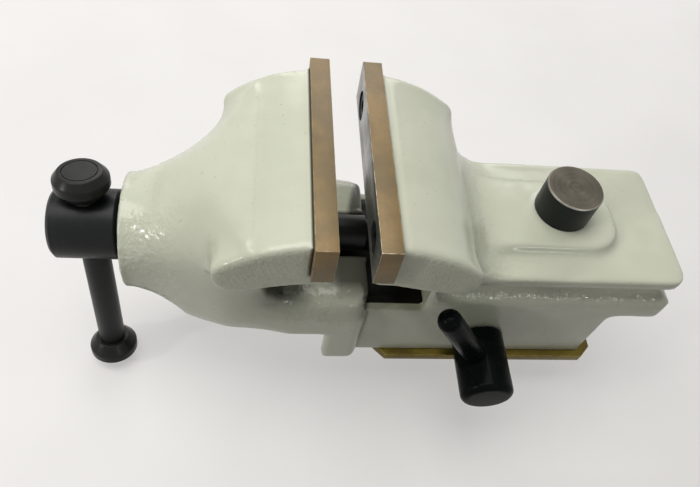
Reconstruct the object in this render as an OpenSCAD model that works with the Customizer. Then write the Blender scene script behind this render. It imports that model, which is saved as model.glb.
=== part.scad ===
// Watchmaker vise on a swivelling, lever-locked base.
// Millimetres, +Z up. The origin is on the swivel axis, at the underside of the base plate.
// +X points to the rear of the vise and +Y to the side away from the clamp lever.

/* [Overall] */
// Height from the bench to the top of the jaw plates
vise_height = 68.5; // [67:0.5:70]
// Distance from the swivel axis forward to the fixed grip face
jaw_reach = 39.5; // [39:0.5:41]
// Opening between the jaw plates as drawn
jaw_gap = 8.7; // [5:0.1:12]
// Widest opening of the jaws
jaw_opening = 45; // [38:0.5:46]

/* [Jaw plates] */
// Length of a jaw plate
plate_width = 60; // [59:0.5:64]
// Height of a jaw plate
plate_height = 12; // [11.5:0.5:13]
// Thickness of a jaw plate
plate_thickness = 5; // [4.5:0.5:6]
// How far the plates stand above the jaw heads
plate_rise = 1.6; // [0.8:0.1:2]
// How far the grip faces stand in front of the ledges under the plates
grip_lead = 0.6; // [0.2:0.1:1]
// Distance between the two screws of a plate
plate_screw_spacing = 42; // [38:0.5:46]
// Depth of the screw axes below the top of the plates
plate_screw_drop = 7; // [6.5:0.1:7]

/* [Jaw heads] */
// Width of the jaw heads
head_width = 56.8; // [54:0.2:58]
// Depth of a jaw head behind its plate
head_depth = 22; // [20.5:0.5:23]
// Height of a jaw head at the plate
head_height = 15; // [14.5:0.5:16]
// Radius of the crowned top of the heads
crown_radius = 36; // [34:1:42]
// How far the crown's highest line lies in front of the plate seat
crown_lead = 3.5; // [2:0.5:5]
// Radius of the rounded lower back of the heads
tip_radius = 5; // [4:0.5:5.5]
// Depth of that rounding's centre below the head top
tip_drop = 14; // [13.5:0.5:14.5]

/* [Front jaw] */
// Distance from the moving grip face to the nose face
nose_length = 50.6; // [50:0.2:54]
// Radius of the nose face
nose_radius = 15.2; // [14.5:0.1:16]
// How far the nose's centre lies below the spindle axis
nose_drop = 1.8; // [0:0.1:2.2]
// Radius of the hollow curve that flares from the nose to the jaw head
flare_radius = 51; // [48:1:56]
// Slope of that curve at the nose face, in degrees
flare_lean = 16; // [14:0.5:18]
// Length of the flared part
bell_length = 32; // [31:0.5:33]
// Length of the nose's straight sides, seen from above
nose_straight = 7; // [4:0.5:9]
// Distance from the moving grip face to where the saddle reaches its full width
taper_end = 24.3; // [23:0.1:26]
// Radius of the ridge that runs from the nose over the jaw head
ridge_radius = 52; // [48:1:60]
// Width of the saddle and its legs
saddle_width = 48; // [47.4:0.2:49]
// Thickness of the saddle above the slide bar
saddle_roof = 7; // [6.6:0.1:7.4]
// How far the saddle reaches past the moving grip face
saddle_reach = 12.9; // [12.5:0.1:13.3]
// Length of the legs along the slide
leg_length = 10.4; // [9.4:0.1:10.5]
// Height of the legs' ends above the base plate
leg_clearance = 0.6; // [0.4:0.1:2]
// Chamfer on the legs' rear edges
leg_chamfer = 2; // [1:0.1:2.4]
// Width of the web under the jaw head
web_width = 28; // [26:0.5:30]
// Radius of the hollow at the web's foot
web_fillet = 8; // [6:0.5:8]
// Radius of the front end of the hollows under the wings
hollow_radius = 7.5; // [6.5:0.1:7.5]

/* [Rear jaw] */
// Width of the lower block
body_width = 40.8; // [40.4:0.2:41]
// Room left in front of the block when the jaws are closed
closing_room = 1.5; // [0.6:0.1:2]
// Distance from the swivel axis back to the block's rear face
block_rear = 36.5; // [35.5:0.5:40]
// Room left in front of the spindle nut when the jaws are closed
nut_room = 4.1; // [3.5:0.1:4.5]
// Radius of the hollow curve from the jaw head down to the deck
column_fillet = 12.3; // [11:0.1:13]
// Distance from the swivel axis back to the end of the rear shelf
shelf_rear = 50.6; // [49:0.1:53]
// Height of the shelf's underside
shelf_z = 24.6; // [22:0.1:25]
// Thickness of the deck over the spindle's bore
deck_roof = 4.6; // [4.2:0.1:5.4]
// How far the deck ends short of the shelf
deck_setback = 1.5; // [0:0.1:3]
// Radius of the deck's rear corners
deck_corner = 4; // [2:0.5:6]
// Radius of the groove under the deck's edge
groove_radius = 3.6; // [2.6:0.1:3.8]
// Thickness of the deck's edge above the groove
deck_edge = 3.8; // [3.3:0.1:4.3]
// Width of the raised pad round the anvil
pad_width = 23; // [20:0.5:28]
// Distance from the swivel axis back to the end of the pad
pad_rear = 32.5; // [29:0.5:40]
// Height of the pad above the deck
pad_rise = 2.4; // [1:0.1:2.6]
// Radius of the pad's corners
pad_corner = 9; // [5:0.5:9.5]

/* [Anvil] */
// Diameter of the anvil
anvil_d = 15.3; // [14:0.1:18]
// Height of the anvil above the pad
anvil_h = 9.6; // [8:0.1:14]
// Distance from the swivel axis back to the anvil
anvil_x = 17.4; // [15:0.1:21]
// Distance of the anvil from the middle of the pad, away from the clamp lever
anvil_y = 1.4; // [-2:0.1:2]
// Diameter of the anvil's spigot
anvil_spigot_d = 10; // [8:0.5:12]
// Length of the anvil's spigot
anvil_spigot_h = 4; // [3:0.1:4.2]
// Chamfer round the anvil's top
anvil_chamfer = 0.7; // [0.3:0.1:1.2]

/* [Slide] */
// Width of the slide bar
bar_width = 35.2; // [33:0.2:35.4]
// Height of the slide bar
bar_height = 8.5; // [8:0.1:8.5]
// Thickness of metal between the clamp screw and the slide bar
channel_floor = 1; // [0.8:0.1:1.4]
// Gap between the slide bar and the roof of its channel
channel_headroom = 0.2; // [0.15:0.05:0.4]
// Distance from the moving grip face to the slide bar's front end
bar_front = 33; // [30:0.2:33.4]
// Distance from the moving grip face to the slide bar's rear end
bar_rear = 74.7; // [72:0.1:74.9]
// Play between the slide bar and its channel
slide_play = 0.15; // [0.1:0.05:0.2]
// Play between the legs and the block's walls
leg_play = 0.3; // [0.2:0.1:0.5]

/* [Spindle] */
// Diameter of the spindle's plain shank
spindle_d = 10; // [9.4:0.1:10.2]
// Diameter over the spindle's thread
thread_d = 9.6; // [9:0.1:9.8]
// Thread pitch
thread_pitch = 3; // [2:0.5:4]
// Diameter of the spindle's head
spindle_head_d = 18.6; // [17:0.1:20]
// Length of the spindle's head
spindle_head_l = 17.1; // [16:0.1:19]
// Chamfer on the spindle's head
spindle_chamfer = 0.9; // [0.4:0.1:1.5]
// Thickness of the thrust washer
washer_t = 1.2; // [0.8:0.1:1.6]
// Outer diameter of the bush in the nose
bush_d = 14; // [13:0.1:16]
// Length of the bush
bush_l = 14; // [10:0.5:18]
// Outer diameter of the retaining collar
collar_d = 14.4; // [13:0.1:14.4]
// Length of the retaining collar
collar_l = 4; // [3.6:0.1:4.4]
// Diameter of the collar's pin
collar_pin_d = 2; // [1.5:0.1:2.2]
// Outer diameter of the spindle nut
nut_d = 13; // [12:0.1:14]
// Length of the spindle nut inside the column
nut_l = 18; // [14:0.5:20]
// Diameter of the nut's flange
nut_flange_d = 30; // [27:0.5:30]
// Thickness of the nut's flange
nut_flange_t = 3; // [2.5:0.1:3.5]
// Distance between the nut's two screws
nut_screw_spacing = 22.6; // [21.5:0.1:23]

/* [Tommy bar] */
// Diameter of the tommy bar
tommy_d = 7.4; // [6.5:0.1:7.8]
// Tilt of the tommy bar away from upright, in degrees
tommy_tilt = 13; // [5:1:45]
// Gap between the upper knob and the spindle's head as drawn
knob_rest = 0.4; // [0.3:0.05:0.6]
// Distance from the spindle axis down to the top of the lower knob
tommy_down = 45.5; // [40:0.1:50]
// Diameter of the knobs
knob_d = 13.7; // [12:0.1:13.9]
// Height of the knobs
knob_h = 7.2; // [6.5:0.1:7.8]
// Height of the knobs' flared necks
knob_neck_h = 2.9; // [2:0.1:3.2]
// Smallest diameter of the necks
knob_neck_d = 9.3; // [8.8:0.1:11]
// Height of the knobs' straight rims
knob_rim_h = 2.4; // [1.5:0.1:2.8]
// Diameter of the knobs' end faces
knob_end_d = 10.7; // [9:0.1:12]
// Depth of the bar's seat in a knob
knob_seat = 5.5; // [4:0.1:6]

/* [Base] */
// Thickness of the base plate
base_t = 3; // [2.6:0.1:3.2]
// Length of the base plate
base_length = 69.6; // [66:0.2:72]
// Width of the base plate
base_width = 44.6; // [43:0.2:46]
// How far the base plate's middle lies behind the swivel axis
base_offset = 5.5; // [3:0.1:7]
// Chamfer on the base plate's corners
base_chamfer = 3.5; // [2:0.1:8]
// Diameter of the swivel post
post_d = 22; // [21:0.2:24]
// Height of the swivel post above its groove
post_lip = 1.3; // [0.8:0.1:1.8]
// Diameter of the spigot that locates the post in the plate
post_spigot_d = 12; // [11:0.2:12.4]
// Diameter of the tapped hole for the bench bolt
bench_bolt_d = 6.8; // [5:0.1:7]
// Depth of the tapped hole for the bench bolt
bench_bolt_depth = 12; // [10:0.5:13]
// Number of screws that hold the post to the plate
post_screw_count = 3; // [2:1:4]
// Radius of the circle of those screws
post_screw_circle = 8.6; // [8.5:0.05:8.8]

/* [Clamp] */
// Height of the clamp screw's axis above the bench
clamp_z = 12; // [11.8:0.1:12.2]
// Diameter of the clamp screw's hub
hub_d = 15; // [13:0.2:15.6]
// Length of the clamp screw's hub
hub_l = 18.8; // [15:0.2:22]
// Gap between the hub and the block's wall
hub_gap = 0.5; // [0.5:0.1:1]
// Rounding at the hub's outer end
hub_round = 2; // [1:0.1:3]
// Diameter of the clamp screw's shank
clamp_d = 10; // [9:0.1:10.4]
// Diameter of the clamp lever
lever_d = 6.5; // [5:0.1:7]
// Distance from the clamp axis to the tip of the lever
lever_reach = 32.5; // [24:0.5:33]
// Lean of the clamp lever towards the front, in degrees
lever_lean = 33; // [30:1:45]
// Distance from the block's wall to the lever's axis
lever_offset = 8.1; // [7.9:0.1:10]
// Depth of the locking groove round the swivel post
post_groove_depth = 2.2; // [1.8:0.1:2.4]
// Height of that groove
post_groove_h = 4.4; // [4:0.1:4.6]
// Gap between the clamp shoe and the groove's floor as drawn
shoe_gap = 0.4; // [0.3:0.05:0.6]

/* [Hidden] */
$fn = 96;

// Overlap that keeps cuts clear of the faces they open
eps = 1;
// Radial clearance of running fits, and of fits between pieces that don't move apart
running = 0.05;
snug = 0.02;
// Radial clearance round screw shanks and screw heads
screw_gap = 0.2;
// Clearance between pieces that pass each other without guiding
free_gap = 0.3;
// Room past the end of a screw
tip_room = 0.5;

// Finishes
enamel = [0.80, 0.81, 0.73];
plate_brown = [0.52, 0.42, 0.31];
black_oxide = [0.13, 0.14, 0.14];
steel = [0.62, 0.62, 0.60];
brass = [0.60, 0.51, 0.18];
bronze = [0.62, 0.45, 0.25];

// Heights of the clamp, slide and spindle, stacked from the bench
bar_recess = 0.1;
bore_gap = 0.5;
bar_z = clamp_z + clamp_d / 2 + channel_floor;
bar_top_z = bar_z + bar_height;
channel_z = bar_z - slide_play;
front_wall_z = bar_top_z + channel_headroom;
saddle_z = bar_z - bar_recess;
saddle_top_z = bar_top_z + saddle_roof;
spindle_z = bar_top_z + collar_d / 2 + free_gap;
spindle_bore_d = spindle_d + 2 * bore_gap;
deck_z = spindle_z + spindle_bore_d / 2 + deck_roof;
groove_z = deck_z - deck_edge - groove_radius;
pad_z = deck_z + pad_rise;
post_top_z = clamp_z + post_groove_h / 2 + post_lip;
swivel_bore_z = post_top_z + free_gap;

// Heights of the jaw heads, from the top of the plates down
plate_bottom_z = vise_height - plate_height;
plate_screw_z = vise_height - plate_screw_drop;
head_top_z = vise_height - plate_rise;
ledge_reach = plate_thickness - grip_lead;
ledge_drop = plate_height - plate_rise;
wing_z = head_top_z - tip_drop - tip_radius;

// Jaw positions along the slide
grip_x = -jaw_reach;
seat_x = grip_x + plate_thickness;
front_grip_x = grip_x - jaw_gap;
front_seat_x = front_grip_x - plate_thickness;
open_travel = jaw_opening - jaw_gap;

// Front jaw
web_setback = 1.8;
hollow_setback = 2.5;
body_lap = 0.6;
bell_limit = 40;
nose_x = front_grip_x - nose_length;
nose_z = spindle_z - nose_drop;
saddle_rear_x = front_grip_x + saddle_reach;
saddle_front_x = front_grip_x - taper_end;
leg_front_x = saddle_rear_x - leg_length;
leg_z = base_t + leg_clearance;
web_rear_x = front_grip_x - web_setback;
hollow_x = front_seat_x - hollow_setback;
pocket_z = front_wall_z + leg_play;
body_top_z = head_top_z - head_height + body_lap;

// Slide bar and its screws
bar_screw_y = 12;
bar_screw_setbacks = [18.8, 0.8];
bar_screw_d = 4;
bar_screw_head = [7, 4, 2.4];
bar_screw_bite = 5;
bar_screw_sink = 4.4;
bar_front_x = front_grip_x - bar_front;
bar_rear_x = front_grip_x + bar_rear;
bar_screw_top_z = bar_top_z + bar_screw_bite;
bar_screw_seat_z = bar_z + bar_screw_sink;

// Rear jaw
groove_lap = 1.5;
groove_out = 0.2;
pad_lap = 2;
block_x = leg_front_x + jaw_gap + closing_room;
column_x = saddle_rear_x + jaw_gap + nut_room + nut_flange_t;
head_back_x = seat_x + head_depth;
deck_rear_x = shelf_rear - deck_setback;
groove_front_x = head_back_x - groove_lap;
pad_front_x = head_back_x - pad_lap;

// Spindle, its collar and its nut
thread_relief = 1;
thread_overrun = 1;
bore_room = 2;
collar_play = 0.1;
washer_inset = 0.2;
nut_screw_d = 3;
nut_screw_l = 8;
nut_screw_head = [4.2, 1.5];
nut_flange_headroom = 3.5;
nut_flange_gap = 0.7;
head_rear_x = nose_x - washer_t;
spindle_front_x = head_rear_x - spindle_head_l;
tommy_x = head_rear_x - spindle_head_l / 2;
tommy_hole_d = tommy_d + 2 * free_gap;
tommy_up = spindle_head_d / 2 + knob_rest;
thread_x = web_rear_x + collar_l + thread_relief;
spindle_rear_x = column_x + nut_l + open_travel + thread_overrun;
spindle_bore_rear_x = spindle_rear_x + jaw_gap + bore_room;
collar_x = web_rear_x + collar_play;
collar_pin_l = collar_d - 2 * washer_inset;
nut_flange_top_z = wing_z - nut_flange_headroom;
nut_flange_bottom_z = bar_top_z + nut_flange_gap;

// Plate screws
plate_screw_d = 4;
plate_screw_l = 10;
plate_screw_head = [7, 2.8, 1.7];
counterbore = [7.6, 3.2];
hex_key = 2.5;
plate_hole_depth = plate_screw_l + counterbore[1] - plate_thickness + tip_room;

// Clamp and swivel post
shoe_step_gap = 0.6;
shoe_length = 3.4;
lever_root = 4;
post_screw_d = 3;
post_screw_head_d = 4.8;
post_screw_l = 8.5;
wall_y = -body_width / 2;
hub_inner_y = wall_y - hub_gap;
post_groove_r = post_d / 2 - post_groove_depth;
shoe_nose_d = post_groove_h - 2 * free_gap;
shoe_step_y = -post_d / 2 - shoe_step_gap;
shoe_back_y = shoe_step_y - shoe_length;
shoe_tip_y = -post_groove_r - shoe_gap;
lever_y = wall_y - lever_offset;

// Sweeps a side outline, drawn in x and z, over a width centred on the vise
module across(width) {
    rotate([90, 0, 0]) linear_extrude(height = width, center = true) children();
}

// Cylinder along X that starts at the origin
module x_rod(d, length) {
    rotate([0, 90, 0]) cylinder(d = d, h = length);
}

// Cylinder along Y that starts at the origin
module y_rod(d, length) {
    rotate([-90, 0, 0]) cylinder(d = d, h = length);
}

// Box between two corners
module box(low, high) {
    translate(low) cube(high - low);
}

// Rectangle whose two far corners, at +x, are rounded
module rounded_end(x0, x1, width, r) {
    translate([x0, -width / 2]) square([x1 - r - x0, width]);
    translate([x0, -width / 2 + r]) square([x1 - x0, width - 2 * r]);
    for (side = [-1, 1]) translate([x1 - r, side * (width / 2 - r)]) circle(r = r);
}

// Socket-head screw along +Z, its head's underside at the origin
module socket_screw(d, length, head) {
    difference() {
        union() {
            cylinder(d = d, h = length);
            translate([0, 0, -head[1]]) cylinder(d = head[0], h = head[1]);
        }
        translate([0, 0, -head[1] - eps])
            cylinder(d = hex_key / cos(30), h = head[2] + eps, $fn = 6);
    }
}

// Countersunk screw along +Z, its head's outer face at the origin
module countersunk_screw(d, length, head_d) {
    cylinder(d1 = head_d, d2 = d, h = (head_d - d) / 2);
    cylinder(d = d, h = length);
}

// Outline of a jaw head: x runs back from the plate seat and y down from the head top
module head_outline() {
    intersection() {
        translate([-crown_lead, -crown_radius]) circle(r = crown_radius);
        union() {
            polygon([
                [0, 0], [head_depth, 0], [head_depth, -tip_drop],
                [head_depth - tip_radius, -tip_drop - tip_radius], [0, -head_height]
            ]);
            translate([head_depth - tip_radius, -tip_drop]) circle(r = tip_radius);
        }
    }
    translate([-ledge_reach, -head_height]) square([ledge_reach + eps, head_height - ledge_drop]);
}

// Places a child once for each of a plate's two screws, pointing back into the jaw
module at_plate_screws(x, turn) {
    for (side = [-1, 1])
        translate([x, side * plate_screw_spacing / 2, plate_screw_z]) rotate([0, turn, 0]) children();
}

// Jaw plate in front of the seat at x = 0, its grip face at x = -plate_thickness
module jaw_plate() {
    difference() {
        box([-plate_thickness, -plate_width / 2, plate_bottom_z], [0, plate_width / 2, vise_height]);
        at_plate_screws(-plate_thickness - eps, 90) cylinder(d = counterbore[0], h = counterbore[1] + eps);
        at_plate_screws(-plate_thickness, 90)
            cylinder(d = plate_screw_d + 2 * screw_gap, h = plate_thickness + eps);
    }
}

// Plate screws for the seat at x = 0
module plate_screws() {
    at_plate_screws(counterbore[1] - plate_thickness, 90)
        socket_screw(plate_screw_d, plate_screw_l, plate_screw_head);
}

// Tapped holes for the plate screws, for the seat at x = 0
module plate_screw_holes() {
    at_plate_screws(-eps, 90) cylinder(d = plate_screw_d + 2 * snug, h = plate_hole_depth + eps);
}

// Base plate with chamfered corners
module base_plate() {
    half = [base_length / 2, base_width / 2];
    c = base_chamfer;
    color(brass) difference() {
        translate([base_offset, 0, 0]) linear_extrude(height = base_t) polygon([
            [-half[0] + c, -half[1]], [half[0] - c, -half[1]], [half[0], -half[1] + c], [half[0], half[1] - c],
            [half[0] - c, half[1]], [-half[0] + c, half[1]], [-half[0], half[1] - c], [-half[0], -half[1] + c]
        ]);
        translate([0, 0, -eps]) cylinder(d = post_spigot_d + 2 * snug, h = base_t + 2 * eps);
        at_post_screws() {
            cylinder(d = post_screw_d + 2 * screw_gap, h = base_t + eps);
            countersunk_screw(post_screw_d + 2 * snug, base_t, post_screw_head_d + 2 * snug);
        }
    }
}

// Places its children on the circle of post screws
module at_post_screws() {
    for (i = [0 : post_screw_count - 1])
        rotate([0, 0, 90 + i * 360 / post_screw_count]) translate([post_screw_circle, 0, 0]) children();
}

// Swivel post with its locking groove and the tapped hole for the bench bolt
module swivel_post() {
    color(steel) difference() {
        union() {
            translate([0, 0, base_t]) cylinder(d = post_d, h = post_top_z - base_t);
            cylinder(d = post_spigot_d, h = base_t + eps);
        }
        translate([0, 0, clamp_z - post_groove_h / 2]) difference() {
            cylinder(d = post_d + 2 * eps, h = post_groove_h);
            cylinder(r = post_groove_r, h = post_groove_h);
        }
        translate([0, 0, -eps]) cylinder(d = bench_bolt_d, h = bench_bolt_depth + eps);
        at_post_screws() cylinder(d = post_screw_d + 2 * snug, h = post_screw_l + tip_room);
    }
}

// Countersunk screws from below that hold the post to the plate
module post_screws() {
    color(steel) at_post_screws() translate([0, 0, snug])
        countersunk_screw(post_screw_d, post_screw_l, post_screw_head_d);
}

// Side outline of the lower block with its rear shelf
module block_outline() {
    polygon([
        [block_x, base_t], [block_rear, base_t], [block_rear, shelf_z], [shelf_rear, shelf_z],
        [shelf_rear, groove_z], [column_x, groove_z], [column_x, front_wall_z],
        [block_x, front_wall_z]
    ]);
}

// Side outline of the column between the block and the jaw head, with its hollow back
module column_outline() {
    back_x = head_back_x + column_fillet;
    top_z = deck_z + column_fillet;
    difference() {
        translate([column_x, groove_z - eps]) square([back_x - column_x, top_z - groove_z + eps]);
        translate([back_x, top_z]) circle(r = column_fillet);
    }
}

// Groove round the sides and the rear, under the deck's edge
module deck_groove() {
    for (side = [-1, 1]) translate([groove_front_x, side * (body_width / 2 + groove_out), groove_z]) {
        x_rod(2 * groove_radius, shelf_rear - groove_front_x + eps);
        sphere(r = groove_radius);
    }
    translate([shelf_rear + groove_out, -body_width / 2 - eps, groove_z])
        y_rod(2 * groove_radius, body_width + 2 * eps);
}

// Fixed jaw: head, column, deck and hollow block in one casting
module rear_jaw_body() {
    channel = bar_width + 2 * slide_play;
    color(enamel) difference() {
        union() {
            translate([seat_x, 0, head_top_z]) across(head_width) head_outline();
            across(body_width) column_outline();
            across(body_width) block_outline();
            translate([0, 0, groove_z - eps]) linear_extrude(height = deck_z - groove_z + eps)
                rounded_end(column_x, deck_rear_x, body_width, deck_corner);
            translate([0, 0, groove_z]) linear_extrude(height = pad_z - groove_z)
                rounded_end(pad_front_x, pad_rear, pad_width, pad_corner);
        }
        deck_groove();
        box([block_x - eps, -channel / 2, channel_z], [block_rear + eps, channel / 2, front_wall_z]);
        translate([0, 0, base_t - eps]) cylinder(d = post_d + 2 * running, h = swivel_bore_z - base_t + eps);
        translate([0, wall_y - eps, clamp_z]) y_rod(clamp_d + 2 * running, -wall_y + eps);
        translate([column_x - eps, 0, spindle_z])
            x_rod(spindle_bore_d, spindle_bore_rear_x - column_x + eps);
        translate([column_x - eps, 0, spindle_z]) x_rod(nut_d + 2 * snug, nut_l + eps);
        at_nut_screws(column_x - eps) cylinder(d = nut_screw_d + 2 * snug, h = nut_screw_l + eps);
        translate([seat_x, 0, 0]) plate_screw_holes();
        translate([anvil_x, anvil_y, pad_z - anvil_spigot_h])
            cylinder(d = anvil_spigot_d + 2 * snug, h = anvil_spigot_h + eps);
    }
}

// Hardened plate of the fixed jaw
module rear_jaw_plate() {
    color(plate_brown) translate([seat_x, 0, 0]) jaw_plate();
}

// Screws of the fixed jaw's plate
module rear_plate_screws() {
    color(black_oxide) translate([seat_x, 0, 0]) plate_screws();
}

// Round bench anvil on the deck
module anvil() {
    color(black_oxide) translate([anvil_x, anvil_y, pad_z]) {
        cylinder(d = anvil_d, h = anvil_h - anvil_chamfer);
        translate([0, 0, anvil_h - anvil_chamfer])
            cylinder(d1 = anvil_d, d2 = anvil_d - 2 * anvil_chamfer, h = anvil_chamfer);
        translate([0, 0, -anvil_spigot_h]) cylinder(d = anvil_spigot_d, h = anvil_spigot_h + eps);
    }
}

// Places its children at the nut's two screws, pointing back
module at_nut_screws(x) {
    for (side = [-1, 1])
        translate([x, side * nut_screw_spacing / 2, spindle_z]) rotate([0, 90, 0]) children();
}

// Flanged nut in the column, its flange flattened above and below
module spindle_nut() {
    color(bronze) difference() {
        union() {
            translate([column_x, 0, spindle_z]) x_rod(nut_d, nut_l);
            intersection() {
                translate([column_x - nut_flange_t, 0, spindle_z]) x_rod(nut_flange_d, nut_flange_t);
                box(
                    [column_x - nut_flange_t, -nut_flange_d, nut_flange_bottom_z],
                    [column_x, nut_flange_d, nut_flange_top_z]
                );
            }
        }
        translate([column_x - nut_flange_t - eps, 0, spindle_z])
            x_rod(thread_d + 2 * running, nut_flange_t + nut_l + 2 * eps);
        at_nut_screws(column_x - nut_flange_t - eps)
            cylinder(d = nut_screw_head[0] + 2 * screw_gap, h = nut_screw_head[1] + eps);
        at_nut_screws(column_x - nut_flange_t)
            cylinder(d = nut_screw_d + 2 * screw_gap, h = nut_flange_t + eps);
    }
}

// Screws of the nut's flange
module nut_screws() {
    color(steel) at_nut_screws(column_x - nut_flange_t + nut_screw_head[1]) {
        cylinder(d = nut_screw_d, h = nut_screw_l);
        translate([0, 0, -nut_screw_head[1]]) cylinder(d = nut_screw_head[0], h = nut_screw_head[1]);
    }
}

// Brass shoe that the clamp screw pushes into the post's groove
module clamp_shoe() {
    color(brass) translate([0, 0, clamp_z]) {
        translate([0, shoe_back_y, 0]) y_rod(clamp_d, shoe_step_y - shoe_back_y);
        translate([0, shoe_step_y - eps, 0]) y_rod(shoe_nose_d, shoe_tip_y - shoe_step_y + eps);
    }
}

// Clamp screw with its round hub, drilled across for the lever
module clamp_screw() {
    color(black_oxide) difference() {
        union() {
            translate([0, hub_inner_y - hub_l, clamp_z]) rotate([-90, 0, 0]) rotate_extrude() union() {
                translate([0, hub_round]) square([hub_d / 2, hub_l - hub_round]);
                square([hub_d / 2 - hub_round, hub_l]);
                translate([hub_d / 2 - hub_round, hub_round]) circle(r = hub_round);
            }
            translate([0, hub_inner_y - eps, clamp_z]) y_rod(clamp_d, shoe_back_y - hub_inner_y + eps);
        }
        at_lever(-lever_root) cylinder(d = lever_d + 2 * snug, h = lever_reach);
    }
}

// Turns the lever's axis, along +Z from the clamp axis, to its lean
module at_lever(start) {
    translate([0, lever_y, clamp_z]) rotate([0, -lever_lean, 0]) translate([0, 0, start]) children();
}

// Clamp lever with a domed tip
module clamp_lever() {
    color(black_oxide) at_lever(-lever_root) {
        cylinder(d = lever_d, h = lever_root + lever_reach - lever_d / 2);
        translate([0, 0, lever_root + lever_reach - lever_d / 2]) sphere(d = lever_d);
    }
}

// Side outline of the space above the wings' underside, under the ridge from the nose to the head
module ridge_outline() {
    intersection() {
        translate([front_seat_x + crown_lead, head_top_z - ridge_radius]) circle(r = ridge_radius);
        translate([nose_x, wing_z]) square([front_seat_x - nose_x, head_top_z - wing_z]);
    }
}

// Plan of the nose below the wings: straight sides, then a taper to the saddle's full width
module nose_plan() {
    half = saddle_width / 2;
    polygon([
        [nose_x, -nose_radius], [nose_x + nose_straight, -nose_radius],
        [saddle_front_x, -half], [front_seat_x, -half], [front_seat_x, half], [saddle_front_x, half],
        [nose_x + nose_straight, nose_radius], [nose_x, nose_radius]
    ]);
}

// Flared nose, kept inside the width of the head above and of the saddle below
module nose_bell() {
    intersection() {
        translate([nose_x, 0, nose_z]) rotate([0, 90, 0]) rotate_extrude() difference() {
            square([bell_limit, bell_length]);
            translate([nose_radius + flare_radius * cos(flare_lean), -flare_radius * sin(flare_lean)])
                circle(r = flare_radius);
        }
        union() {
            across(head_width) ridge_outline();
            translate([0, 0, saddle_z]) linear_extrude(height = wing_z - saddle_z) nose_plan();
        }
    }
}

// Plan of the saddle with chamfered rear corners
module saddle_plan() {
    half = saddle_width / 2;
    polygon([
        [saddle_front_x, -half], [saddle_rear_x - leg_chamfer, -half], [saddle_rear_x, -half + leg_chamfer],
        [saddle_rear_x, half - leg_chamfer], [saddle_rear_x - leg_chamfer, half], [saddle_front_x, half]
    ]);
}

// Hollows under the wings, on both sides of the web
module wing_hollows() {
    difference() {
        across(saddle_width + 2 * eps) union() {
            translate([hollow_x, saddle_top_z + hollow_radius]) circle(r = hollow_radius);
            translate([hollow_x, saddle_top_z]) square([saddle_rear_x - hollow_x, 2 * hollow_radius]);
        }
        box(
            [saddle_front_x, -web_width / 2, saddle_top_z - eps],
            [saddle_rear_x + eps, web_width / 2, head_top_z]
        );
    }
}

// Hollow at the foot of the web's rear face
module web_foot_outline() {
    difference() {
        translate([web_rear_x - eps, saddle_top_z - eps]) square(web_fillet + eps);
        translate([web_rear_x + web_fillet, saddle_top_z + web_fillet]) circle(r = web_fillet);
    }
}

// Moving jaw: head, flared nose, web and saddle in one casting
module front_jaw_body() {
    leg_gap = body_width + 2 * leg_play;
    color(enamel) difference() {
        union() {
            translate([front_seat_x, 0, head_top_z]) mirror([1, 0, 0]) across(head_width) head_outline();
            nose_bell();
            translate([0, 0, saddle_z]) linear_extrude(height = saddle_top_z - saddle_z) saddle_plan();
            difference() {
                box(
                    [saddle_front_x, -saddle_width / 2, saddle_top_z - eps],
                    [web_rear_x, saddle_width / 2, body_top_z]
                );
                wing_hollows();
            }
            across(web_width) web_foot_outline();
            intersection() {
                translate([0, 0, leg_z]) linear_extrude(height = saddle_top_z - leg_z) saddle_plan();
                box([leg_front_x, -saddle_width, leg_z], [saddle_rear_x, saddle_width, saddle_top_z]);
            }
        }
        box([bar_front_x, -bar_width / 2, saddle_z - eps], [saddle_rear_x + eps, bar_width / 2, bar_top_z]);
        box([leg_front_x, -leg_gap / 2, 0], [saddle_rear_x + eps, leg_gap / 2, pocket_z]);
        translate([nose_x - eps, 0, spindle_z]) x_rod(spindle_bore_d, saddle_rear_x - nose_x + 2 * eps);
        translate([nose_x - eps, 0, spindle_z]) x_rod(bush_d + 2 * snug, bush_l + eps);
        translate([web_rear_x, 0, spindle_z]) x_rod(collar_d + 2 * free_gap, saddle_rear_x - web_rear_x + eps);
        translate([front_seat_x, 0, 0]) mirror([1, 0, 0]) plate_screw_holes();
        at_bar_screws(bar_top_z - eps)
            cylinder(d = bar_screw_d + 2 * snug, h = bar_screw_bite + tip_room + eps);
    }
}

// Hardened plate of the moving jaw
module front_jaw_plate() {
    color(plate_brown) translate([front_seat_x, 0, 0]) mirror([1, 0, 0]) jaw_plate();
}

// Screws of the moving jaw's plate
module front_plate_screws() {
    color(black_oxide) translate([front_seat_x, 0, 0]) mirror([1, 0, 0]) plate_screws();
}

// Places its children at the slide bar's screws, pointing up
module at_bar_screws(z) {
    for (setback = bar_screw_setbacks, side = [-1, 1])
        translate([front_seat_x - setback, side * bar_screw_y, z]) children();
}

// Slide bar under the moving jaw
module slide_bar() {
    color(black_oxide) difference() {
        box([bar_front_x, -bar_width / 2, bar_z], [bar_rear_x, bar_width / 2, bar_top_z]);
        at_bar_screws(bar_z - eps) cylinder(d = bar_screw_d + 2 * screw_gap, h = bar_height + 2 * eps);
        at_bar_screws(bar_z - eps) cylinder(d = bar_screw_head[0] + 2 * screw_gap, h = bar_screw_sink + eps);
    }
}

// Screws that hold the slide bar to the moving jaw
module slide_bar_screws() {
    color(steel) at_bar_screws(bar_screw_seat_z)
        socket_screw(bar_screw_d, bar_screw_top_z - bar_screw_seat_z, bar_screw_head);
}

// Bush in the nose
module spindle_bush() {
    color(bronze) translate([nose_x, 0, spindle_z]) difference() {
        x_rod(bush_d, bush_l);
        translate([-eps, 0, 0]) x_rod(spindle_d + 2 * running, bush_l + 2 * eps);
    }
}

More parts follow.
